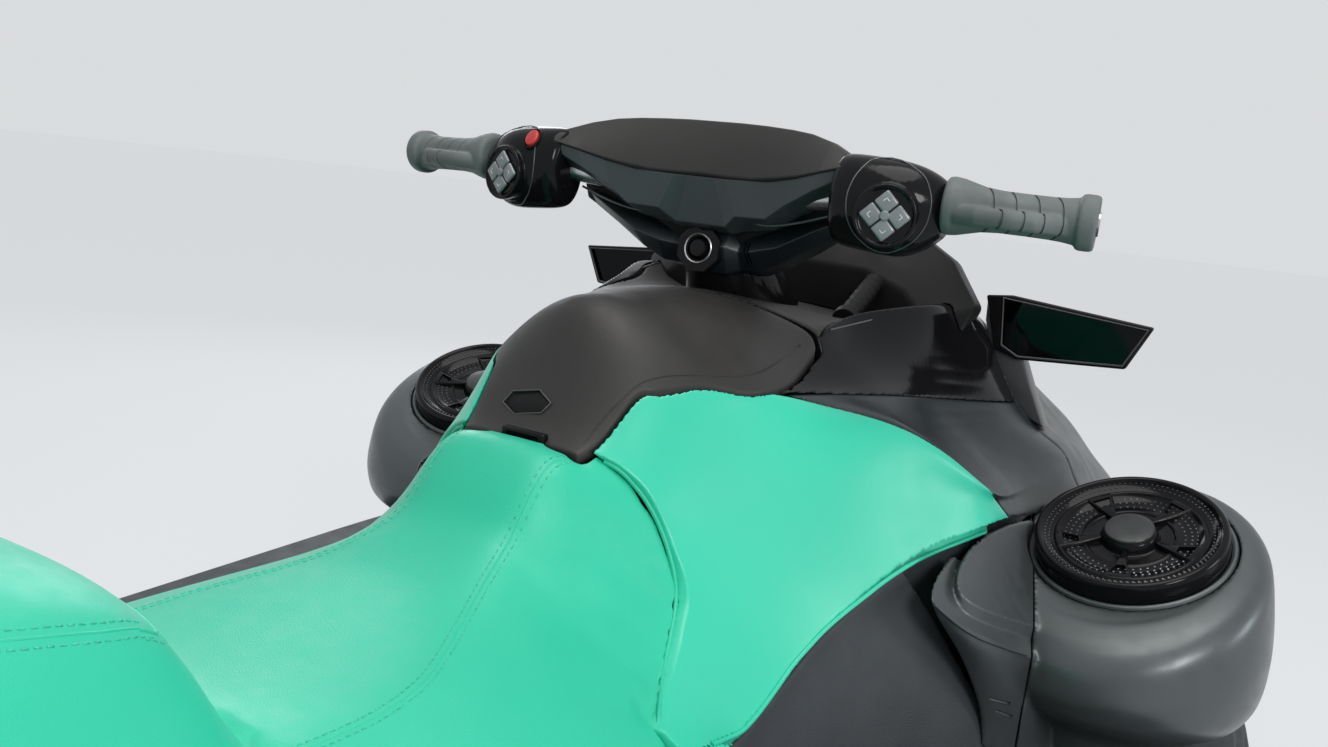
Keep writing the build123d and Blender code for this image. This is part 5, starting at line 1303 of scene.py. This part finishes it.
# %% Grips
BAR_BEND = Vector((-0.235, -0.179, 0.774))
BAR_END = Vector((-0.398, -0.204, 0.771))
bar_way = (BAR_END - BAR_BEND).normalized()
GRIP_START_X = -0.268
grip_start = BAR_BEND + bar_way * ((GRIP_START_X - BAR_BEND.x) / bar_way.x)
GRIP_FRAME = Matrix.Translation(grip_start) @ bar_way.to_track_quat("Z", "Y").to_matrix().to_4x4()
GRIP_PROFILE = [
    (0, -5), (22, -5), (26, -3), (27, 2), (26, 10), (23.4, 20), (20.6, 31), (19.2, 46), (19, 70),
    (19.2, 90), (19.8, 102), (20.6, 108), (21.2, 112.5), (24.4, 114.4), (25.2, 117), (25.3, 122),
    (25, 127), (23.8, 129.4),
    (20.6, 130), (18.4, 129.2), (17.2, 126.6), (9, 126), (0, 126),
]
sleeve = turned(GRIP_PROFILE, GRIP_FRAME, 64)
WING = [(266, -172), (278, -158), (300, -150), (330, -149), (352, -158), (374, -178), (382, -191),
        (382, -204), (268, -188)]
wing_rings = [[(-x, y - drop, z) for x, y in WING] for z, drop in ((757, 5), (766, 0), (775, 4))]
wing = bevelled(lofted(wing_rings), 3.6, 3, 20.0)
grip = rounded(cut(sleeve, wing, "UNION"), 0.0012, 5)
GROOVE_DEPTH = 0.0017
GROOVE_WIDTH = 2.2
GROOVE_SLANT = Matrix.Rotation(math.radians(26), 4, "Y")
grip_core = baked(grip, [offset(-GROOVE_DEPTH)])
for along_bar in (30, 50, 70, 90):
    groove_frame = GRIP_FRAME @ Matrix.Translation((0, 0, along_bar * MM)) @ GROOVE_SLANT
    groove = cut(block(140, 140, GROOVE_WIDTH, groove_frame, 0.2, 1), grip_core, "DIFFERENCE")
    grip = cut(grip, groove, "DIFFERENCE")
show_pair("starboard", grip, "rubber_grip", "steering", grip_rubber, "grip", 35.0)
print("grip:", len(grip.polygons), "faces")

# %% [markdown]
# The mirrors are thin gloss shells on satin arms, with dark glass sunk behind a narrow grey rim. The
# shell is a loft from the rear outline to a smaller front one.

# %% Mirrors
MIRROR_Y = -598.0
MIRROR_OUTLINE = [(205, 672), (238, 676), (409, 661), (384, 606), (253, 596), (225, 606)]
MIRROR_GLASS = [(228, 671), (402, 657), (380, 610), (256, 600.5), (234, 612)]
rear_rim = [(x, MIRROR_Y, z) for x, z in MIRROR_OUTLINE]
middle_rim = [(x * 0.97 + 9, MIRROR_Y - 24, z * 0.93 + 45) for x, z in MIRROR_OUTLINE]
front_rim = [(x * 0.9 + 28, MIRROR_Y - 50, z * 0.7 + 192) for x, z in MIRROR_OUTLINE]
mirror_shell = bevelled(lofted([rear_rim, middle_rim, front_rim]), 3.0, 4, 20.0)
pocket = lofted([[(x, y, z) for x, z in MIRROR_GLASS] for y in (MIRROR_Y - 7, MIRROR_Y + 12)])
mirror_shell = cut(mirror_shell, pocket, "DIFFERENCE")
glass = lofted([[(x, y, z) for x, z in MIRROR_GLASS] for y in (MIRROR_Y - 7.5, MIRROR_Y - 4)])
rim_grey = new_material("rim_grey", (0.055, 0.058, 0.06), 0.38, coat=0.2)
tone(rim_grey, noise(rim_grey, 20.0), (0.047, 0.05, 0.052), (0.063, 0.066, 0.069))
bump(rim_grey, noise(rim_grey, 900.0), 0.0001, 0.3)
rim_loop = [(x * MM, (MIRROR_Y + 0.6) * MM, z * MM) for x, z in MIRROR_GLASS]
rim = tube(rim_loop, 1.5, True, 3, False)
ARM_TABLE = [
    # inner x, outer x, rear face from the outline, depth, rear z inside and outside, drop to the front
    (206, 240, -6, 28, 668, 668, 4),
    (208, 250, -4, 34, 640, 626, 4),
    (226, 276, -6, 36, 586, 566, 4),
    (240, 300, -8, 38, 540, 516, 4),
]
arm_rings = []
for inner, outer, back, deep, inner_z, outer_z, drop in ARM_TABLE:
    rear_y = MIRROR_Y + back
    arm_rings.append([(inner, rear_y, inner_z), (outer, rear_y, outer_z),
                      (outer, rear_y - deep, outer_z - drop), (inner, rear_y - deep, inner_z - drop)])
arm_mesh = bevelled(lofted(arm_rings), 3.0, 3, 20.0)
for mesh, name, finish, slot, node in (
    (mirror_shell, "mirror_shell", black_gloss, "black_gloss", "mirror"),
    (rim, "mirror_rim", rim_grey, "slate_satin", "mirror"),
    (arm_mesh, "mirror_arm", rim_grey, "slate_satin", "mirror"),
    (glass, "mirror_pane", mirror_dark, "mirror_dark", "mirror_glass"),
):
    show_pair("port", mesh, name, "hull", finish, node, 30.0)
print("mirror shell:", len(mirror_shell.polygons), "faces")

# %% [markdown]
# The instrument hood ahead of the bars is a faceted satin moulding, lofted from four frames.

# %% Instrument hood
HOOD = [
    # y, half width and height of the top, half width and height of the foot
    (-438, 100, 694, 184, 640), (-482, 140, 746, 226, 664),
    (-560, 124, 742, 214, 656), (-592, 100, 716, 190, 630),
]
HOOD_SHOULDER = 0.6  # share of the way out, and of the height, at which the side breaks
HOOD_ROOT_Z = 585  # inside the dash
hood_rings = []
for y, top_half, top_z, foot_half, foot_z in HOOD:
    shoulder_x = top_half + HOOD_SHOULDER * (foot_half - top_half)
    shoulder_z = foot_z + HOOD_SHOULDER * (top_z - foot_z)
    half = [(0, top_z), (top_half, top_z - 3), (shoulder_x, shoulder_z), (foot_half, foot_z)]
    half.append((foot_half - 30, HOOD_ROOT_Z))
    hood_rings.append([(x, y, z) for x, z in half] + [(-x, y, z) for x, z in reversed(half[1:])])
hood = bevelled(lofted(hood_rings), 5.0, 4, 16.0)
hood = cut(hood, grown_form, "DIFFERENCE")
hood_piece = show(hood, "instrument_hood", "hull", hood_black, 35.0)
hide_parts("gauge_pod")
print("hood:", len(hood.polygons), "faces")

# %% [markdown]
# The glovebox lid carries a groove along its border, a shallow six-sided pocket with a plain plate in it
# and a fine raised outline, and a catch on its rear edge. Groove and pocket are subtracted from the lid.

# %% Lid details
def slab(outline, low, high, frame, shrink=1.0):
    """A flat block from an outline in a frame's own millimetres."""
    cx, cy = middle_of(outline)
    plan = [(cx + (x - cx) * shrink, cy + (y - cy) * shrink) for x, y in outline]
    mesh = lofted([[(x, y, height) for x, y in plan] for height in (low, high)])
    mesh.transform(frame)
    return mesh


PLATE_PIXELS = [(503, 402), (513, 391), (540, 390), (551, 403), (541, 413), (514, 414)]
PLATE_MIDDLE = (527, 402)
BORDER_PIXELS = [(583, 444), (592, 433), (606, 416), (622, 400), (638, 386), (656, 379), (690, 376),
                 (725, 377), (752, 375), (778, 362), (800, 345)]
lid_skin = surface_of(lid_mesh)
PLATE_FRAME = frame_on(*touch(lid_skin, *PLATE_MIDDLE), (0, -1, 0))
plate_outline = on_plane(PLATE_FRAME, PLATE_PIXELS)
border_groove = tube(touched(lid_skin, BORDER_PIXELS, 0.0003), 1.1)
lid_cut = cut(lid_mesh, border_groove, "DIFFERENCE")
lid_cut = cut(lid_cut, slab(plate_outline, -2.4, 9.0, PLATE_FRAME), "DIFFERENCE")
lid_piece = show(lid_cut, "glovebox_cover", "glovebox_cover", charcoal_satin, most=110000)
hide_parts("glovebox_lid")
plate = bevelled(slab(plate_outline, -2.6, -1.0, PLATE_FRAME, 0.9), 0.5, 2, 30.0)
show(plate, "badge_plate", "glovebox_cover", hood_black, 30.0)
plate_loop = [PLATE_FRAME @ Vector((x * MM, y * MM, 0.0002)) for x, y in plate_outline]
show(tube(plate_loop, 0.75, True, 3, False), "badge_outline", "glovebox_cover", rim_grey)
CATCH_FRAME = Matrix.Translation((-0.004, 0.0785, 0.526))
finger_room = block(34, 6, 9, CATCH_FRAME @ Matrix.Translation((0, 0.005, 0.003)), 1.0, 2)
catch = cut(block(46, 9, 15, CATCH_FRAME, 2.2, 3), finger_room, "DIFFERENCE")
show(catch, "lid_catch", "glovebox_cover", black_gloss, 30.0)
print("lid:", len(lid_piece.data.polygons), "faces, plate corner:", [round(c) for c in plate_outline[0]])

# %% [markdown]
# A thin grey bar runs along the top of each gloss wall; its pale grey is a painted highlight on the wall's
# ridge. It is a thin round bar through points that the camera's rays touch on the wall.

# %% Painted highlight on the rim of the gloss wall
GLINT_RIM_PIXELS = [(800, 372), (812, 352), (830, 330), (850, 315), (875, 307), (905, 303), (935, 302), (955, 306),
              (968, 316), (975, 330)]
glint_rim_points = touched(surface_of(mirrored(flank_wall)), GLINT_RIM_PIXELS, 0.0002)
# The bar's pale grey stands in for the highlight on the wall's top edge: a painted highlight.
show_pair("starboard", tube(glint_rim_points, 0.9), "wall_glint_rim", "hull", silver_satin)
print("rim points on the wall:", len(glint_rim_points))

# %% [markdown]
# The speaker grille is pierced: two rings of holes near the rim and three further in, and tapered spokes
# run between the rings and the cap. Each hole is shown by a tiny raised edge in pale grey, a painted
# highlight for the glint that the hole's edge catches.

# %% Speaker grille
# The holes' edges are pale grey: a painted highlight for the glint on each hole's edge.
painted_hole_glint = new_material("painted_hole_glint", (0.16, 0.165, 0.17), 0.3, metallic=0.6)
tone(painted_hole_glint, noise(painted_hole_glint, 500.0), (0.12, 0.125, 0.13), (0.2, 0.205, 0.21))


def dot_ring(count, radius, height, size, tilt):
    """A ring of small raised edges on the speaker's face, each tilted with the dish, in pale grey as a
    painted glint.
    """
    dots = []
    for step in range(count):
        spin = Matrix.Rotation(2 * math.pi * step / count, 4, "Z")
        place = Matrix.Translation((radius * MM, 0, height * MM))
        place = place @ Matrix.Rotation(math.radians(tilt), 4, "Y")
        shape = bmesh.new()
        bmesh.ops.create_cone(shape, cap_ends=True, segments=8, radius1=size * MM, radius2=size * 0.8 * MM,
                              depth=0.5 * MM, matrix=SPEAKER_FRAME @ spin @ place)
        dots.append(as_mesh(shape, "dot"))
    return joined(dots)


HOLE_RINGS = [
    # holes, radius, height, hole's radius, tilt
    (96, 86.6, -3.9, 1.15, 33.0), (90, 82.6, -6.2, 1.15, 30.0), (64, 66.5, -10.8, 1.2, 16.0),
    (58, 61.0, -12.1, 1.2, 10.0), (48, 54.5, -13.1, 1.2, 8.0),
]
SPOKES = 5
SPOKE = [[(29, -3, -18), (29, 3, -18), (29, 2, -8.5), (29, -2, -8.5)],
         [(50, -9, -18), (50, 9, -18), (50, 6, -9.5), (50, -6, -9.5)],
         [(74, -19, -14), (74, 19, -14), (74, 14, -6.6), (74, -14, -6.6)]]
SPOKE_WINDOW = [[(x, y, z) for x, y in ((52, -4.5), (52, 4.5), (68, 10), (68, -10))] for z in (-20, 0)]
CAP_PROFILE = [(0, -6), (24.6, -6), (25.4, -5), (25.4, -1.4), (24.4, 0), (22, 0.7), (12, 1.5), (0, 1.7)]
COLLAR_PROFILE = [(98.6, -30), (103.8, -30), (104.6, -24.6), (103.4, -22.4), (101, -21.6), (98.6, -22.6),
                  (98.6, -30)]
glint_dots = joined([dot_ring(*row) for row in HOLE_RINGS])
spoke_list = []
for step in range(SPOKES):
    spoke = cut(bevelled(lofted(SPOKE), 1.2, 2, 20.0), lofted(SPOKE_WINDOW), "DIFFERENCE")
    spoke.transform(SPEAKER_FRAME @ Matrix.Rotation(math.radians(360 / SPOKES * step + 20), 4, "Z"))
    spoke_list.append(spoke)
spokes = joined(spoke_list)
cap = turned(CAP_PROFILE, SPEAKER_FRAME)
cap_grey = new_material("cap_grey", (0.032, 0.036, 0.036), 0.36, metallic=0.2)
tone(cap_grey, noise(cap_grey, 40.0), (0.027, 0.031, 0.031), (0.038, 0.042, 0.042))
bump(cap_grey, cells(cap_grey, 1500.0), 0.0001, 0.5)
collar_ring = turned(COLLAR_PROFILE, SPEAKER_FRAME, 128)
for mesh, name, finish, slot in ((glint_dots, "grille_hole_glints", painted_hole_glint, "black_gloss"),
                                 (spokes, "grille_spokes", black_gloss, "black_gloss"),
                                 (cap, "speaker_cap", cap_grey, "black_gloss"),
                                 (collar_ring, "speaker_ring", silver_satin, "silver_satin")):
    show_pair("starboard", mesh, name, "hull", finish, None, 30.0)
print("grille:", len(glint_dots.polygons), "faces of holes,", len(spokes.polygons), "of spokes")

# %% [markdown]
# Vinyl covers are sewn. A double row of stitches follows each side of the front cushion, with a fine
# ridge where the two panels of vinyl meet, and a piping runs across the front of the rear cushion. The
# lines are found by dropping points on the finished cushion, so they lie on its swollen surface.

# %% Seams and stitches
def dropped(tree, points, lift=0.0):
    """Points on a surface straight under some plan points, in metres."""
    landed = []
    for x, y in points:
        place, slope, index, distance = tree.ray_cast(Vector((x, y, 1.0)), Vector((0, 0, -1)))
        if place is not None:
            landed.append((place + slope * lift * MM, slope))
    return landed


def along_line(points, spacing):
    """Even steps along a plan line."""
    result = []
    carry = 0.0
    for (ax, ay), (bx, by) in zip(points, points[1:]):
        run = math.hypot(bx - ax, by - ay)
        while carry <= run:
            t = carry / run
            result.append((ax + (bx - ax) * t, ay + (by - ay) * t, (bx - ax) / run, (by - ay) / run))
            carry += spacing
        carry -= run
    return result


def eased(points, steps=10):
    """A smooth plan line through a few points."""
    line = []
    for i in range(len(points) - 1):
        p0 = points[max(i - 1, 0)]
        p1, p2 = points[i], points[i + 1]
        p3 = points[min(i + 2, len(points) - 1)]
        for step in range(steps):
            t = step / steps
            weights = (-t**3 + 2 * t**2 - t, 3 * t**3 - 5 * t**2 + 2, -3 * t**3 + 4 * t**2 + t, t**3 - t**2)
            line.append(tuple(sum(w * p[k] for w, p in zip(weights, (p0, p1, p2, p3))) / 2 for k in (0, 1)))
    return line + [points[-1]]


SIDE_SEAM = [(0.058, 0.092), (0.055, 0.11), (0.056, 0.14), (0.060, 0.17), (0.072, 0.21), (0.088, 0.25),
             (0.105, 0.29), (0.115, 0.32), (0.120, 0.36), (0.119, 0.40), (0.117, 0.446)]
REAR_SEAM = [(-0.112, 0.530), (-0.104, 0.514), (-0.085, 0.509), (-0.04, 0.507), (0.0, 0.507), (0.04, 0.507),
             (0.085, 0.509), (0.104, 0.514), (0.112, 0.530)]
REAR_SIDE_SEAM = [(0.110, 0.526), (0.120, 0.56), (0.124, 0.62), (0.123, 0.74), (0.122, 0.86), (0.118, 0.96),
                  (0.110, 1.03), (0.100, 1.075)]
skins = {name: surface_of(piece.data) for name, piece in covers.items()}


STITCH_PITCH = 0.0062
STITCH_SIZE = (0.0040, 0.0011, 0.0008)


def stitches(tree, line, aside):
    """A row of short rounded stitches beside a line."""
    row = []
    side_line = [(x - ty * aside, y + tx * aside) for x, y, tx, ty in along_line(line, 0.004)]
    for x, y, tx, ty in along_line(side_line, STITCH_PITCH):
        landed = dropped(tree, [(x, y), (x + tx * 0.002, y + ty * 0.002)], 0.15)
        if len(landed) < 2:
            continue
        (here, slope), (there, _) = landed
        way = (there - here).normalized()
        across_way = slope.cross(way).normalized()
        turn = Matrix((way, across_way, way.cross(across_way))).transposed().to_4x4()
        shape = bmesh.new()
        place = Matrix.Translation(here) @ turn @ Matrix.Diagonal((*STITCH_SIZE, 1.0))
        bmesh.ops.create_cube(shape, size=1.0, matrix=place)
        bmesh.ops.bevel(shape, geom=shape.edges[:], offset=0.0003, segments=1, profile=0.5, affect="EDGES",
                        material=-1, clamp_overlap=True)
        row.append(as_mesh(shape, "stitch"))
    return row


def sew(name, cover, line, rows, bead):
    """A bead along a line on a cushion, and rows of stitches beside it."""
    smooth_line = eased(line)
    tree = skins[cover]
    path = [place for place, slope in dropped(tree, smooth_line[::3] + [smooth_line[-1]], -bead * 0.45)]
    show(tube(path, bead), name + "_bead", "hull", mint_vinyl)
    row = []
    for aside in rows:
        row += stitches(tree, smooth_line, aside)
    show(joined(row), name + "_stitches", "hull", mint_thread, 60.0)
    return len(row)


BOTH_ROWS = (-0.0042, 0.0042)
count = 0
for side, sign in (("port", 1), ("starboard", -1)):
    for name, cover, line in (("side_seam_", "front", SIDE_SEAM),
                              ("rear_side_seam_", "rear", REAR_SIDE_SEAM)):
        count += sew(name + side, cover, [(x * sign, y) for x, y in line], BOTH_ROWS, 1.0)
count += sew("rear_front_seam", "rear", REAR_SEAM, (-0.0050,), 1.7)
print("stitches:", count)

# %% [markdown]
# The deck, the plinth under the seat, the bumpers and the jet pump keep their construction shapes and get
# the rounded edges that a mould gives: a Bevel modifier on a merged copy of each part.

# %% Rounded copies of the construction parts
def merged_copy(node):
    """A copy of a construction part with its loose triangles merged and its flats made whole."""
    shape = bmesh.new()
    shape.from_mesh(nodes[node].data)
    bmesh.ops.remove_doubles(shape, verts=shape.verts, dist=0.00002)
    bmesh.ops.dissolve_limit(shape, angle_limit=math.radians(0.6), verts=shape.verts, edges=shape.edges,
                             use_dissolve_boundaries=False, delimit={"NORMAL"})
    return as_mesh(shape, node)


members = frame["record"]["behaviour"]["bodies"]
body_of = {node: body for body in members for node in members[body]}
SKIRT_EDGE = [(167, 400), (167, 316), (176, 284), (196, 256), (228, 236), (270, 226), (1000, 222),
              (1060, 226), (1098, 244), (1112, 276), (1118, 310), (1122, 400)]
ROUNDED = [
    # part, edge radius in millimetres
    ("deck", 5.0), ("seat_base", 3.0), ("seat_skirt_port", 5.0), ("seat_skirt_starboard", 5.0),
    ("bumper_port", 3.5), ("bumper_starboard", 3.5), ("sponson_port", 3.0), ("sponson_starboard", 3.0),
    ("ride_plate", 1.6), ("intake_grate", 1.6), ("pump_housing", 1.6), ("steering_nozzle", 1.2),
    ("reverse_bucket", 2.0), ("column_cowl", 3.0), ("lever_port", 1.6), ("lever_starboard", 1.6),
    ("grab_handle", 1.5), ("bow_eye", 1.2), ("fuel_cap", 1.8), ("knee_recess_port", 2.0),
    ("knee_recess_starboard", 2.0),
]
for node, radius in ROUNDED:
    copy = merged_copy(node)
    before = len(copy.polygons)
    if node.startswith("seat_skirt"):
        near, far = (-400, -100) if node.endswith("starboard") else (100, 400)
        copy = cut(copy, prism(SKIRT_EDGE, near, far, "side", (0, 11)))
    smoother = bevelled(copy, radius, 3, 28.0)
    piece = show(smoother, node + "_moulded", body_of[node], FINISHES[slot_of[node]], 32.0)
    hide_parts(node)
    print(node, before, "->", len(smoother.polygons), "faces")

# %% [markdown]
# The column enters the dash through a ribbed rubber boot, which keeps spray out while the bar turns. It is
# one profile of ribs turned round the axis between its two ends.

# %% Column boot
BOOT_FOOT_PIXEL = (846, 318)
BOOT_END_PIXEL = (876, 280)
BOOT_RIBS = 7
boot_foot = touch(surface_of(dash_mesh, lid_mesh), *BOOT_FOOT_PIXEL)[0]
boot_end = touch(surface_of(hood), *BOOT_END_PIXEL)[0] + pixel_direction(*BOOT_END_PIXEL) * 0.006
boot_length = (boot_end - boot_foot).length / MM
pitch = (boot_length - 6.0) / BOOT_RIBS
boot_profile = [(0, -8), (14, -8), (15, 1), (12.5, 2.5)]
for rib in range(BOOT_RIBS):
    start = 3.0 + rib * pitch
    for radius, share in ((9.6, 0.0), (11.8, 0.35), (11.8, 0.65), (9.6, 0.98)):
        boot_profile.append((radius, start + pitch * share))
boot_profile += [(10.5, boot_length - 2), (9.0, boot_length), (0, boot_length)]
boot = turned(boot_profile, frame_on(boot_foot, boot_end - boot_foot), 32)
show(boot, "column_boot", "hull", hood_black, 50.0)
print("boot: %.0f mm long, %d faces" % (boot_length, len(boot.polygons)))

# %% [markdown]
# A thin welt fills the joint between the seat and the side panel. It hides the cushion's cut edge, as the
# rolled edge of the real cover does, and it is laid beside the panel's rim, seen from the rider's side.
# The panel's own lower edge is rolled as well, and a second bar makes it in the same way.

# %% Seat welt and rolled panel edge
WELT = [(588, 455), (604, 461), (619, 470), (635, 486), (650, 507), (662, 532), (670.5, 558),
        (675.5, 584), (675.5, 606), (671.5, 631), (666.5, 656), (662.5, 678), (660, 700), (658.5, 722),
        (658, 742)]


def beside(tree, pixels, shift, lift):
    """Points on the rays of some pixels, as far off as the surface a few pixels beside them."""
    points = []
    for u, v in pixels:
        place, slope = touch(tree, u + shift[0], v + shift[1])
        if place is not None:
            points.append(EYE + pixel_direction(u, v) * ((place - EYE).length + lift))
    return points


rim_skin = surface_of(mirrored(side_panel))
LOWER_EDGE = [(985, 532), (960, 542), (935, 552), (908, 566), (884, 582), (861, 600), (842, 615), (824, 631),
              (808, 648), (794, 664), (777, 688), (764, 706), (752, 721), (741, 732), (727, 739), (712, 745)]
for name, pixels, shift, lift, radius, finish, slot in (
    ("seat_welt", WELT, (3.5, 0), 0.0022, 2.3, mint_vinyl, "mint_vinyl"),
    ("panel_edge", LOWER_EDGE, (-4, -4), 0.0016, 2.1, mint_gloss, "mint_gloss"),
):
    path = beside(rim_skin, pixels, shift, lift)
    show_pair("starboard", tube(path, radius, sides=4), name, "hull", finish, None, 60.0)
    print(name + ":", len(path), "of", len(pixels), "points")

# %% [markdown]
# The middle of the handlebar is clamped to a round stem. A turned cover hides the clamp from the front, and
# a block keeps only its front half, since the pad and the column clamp fill the rear.

# %% Stem cover
stem_frame = frame_on(Vector((0, -0.3, 0.66)), (0, 0.629, 0.777), (0, 1, 0))
STEM_PROFILE = [(0, 44), (25.5, 44), (27, 46), (27, 60), (26.2, 61), (27, 62), (27, 116), (25.5, 118.5),
                (0, 118.5)]
front_half = prism([(-340, 600), (-233, 600), (-233, 850), (-340, 850)], -80, 80, "side", range(4))
stem_cover = cut(turned(STEM_PROFILE, stem_frame, 48), front_half)
show(stem_cover, "stem_cover", "steering", hood_black, 30.0)
print("stem cover:", len(stem_cover.polygons), "faces")
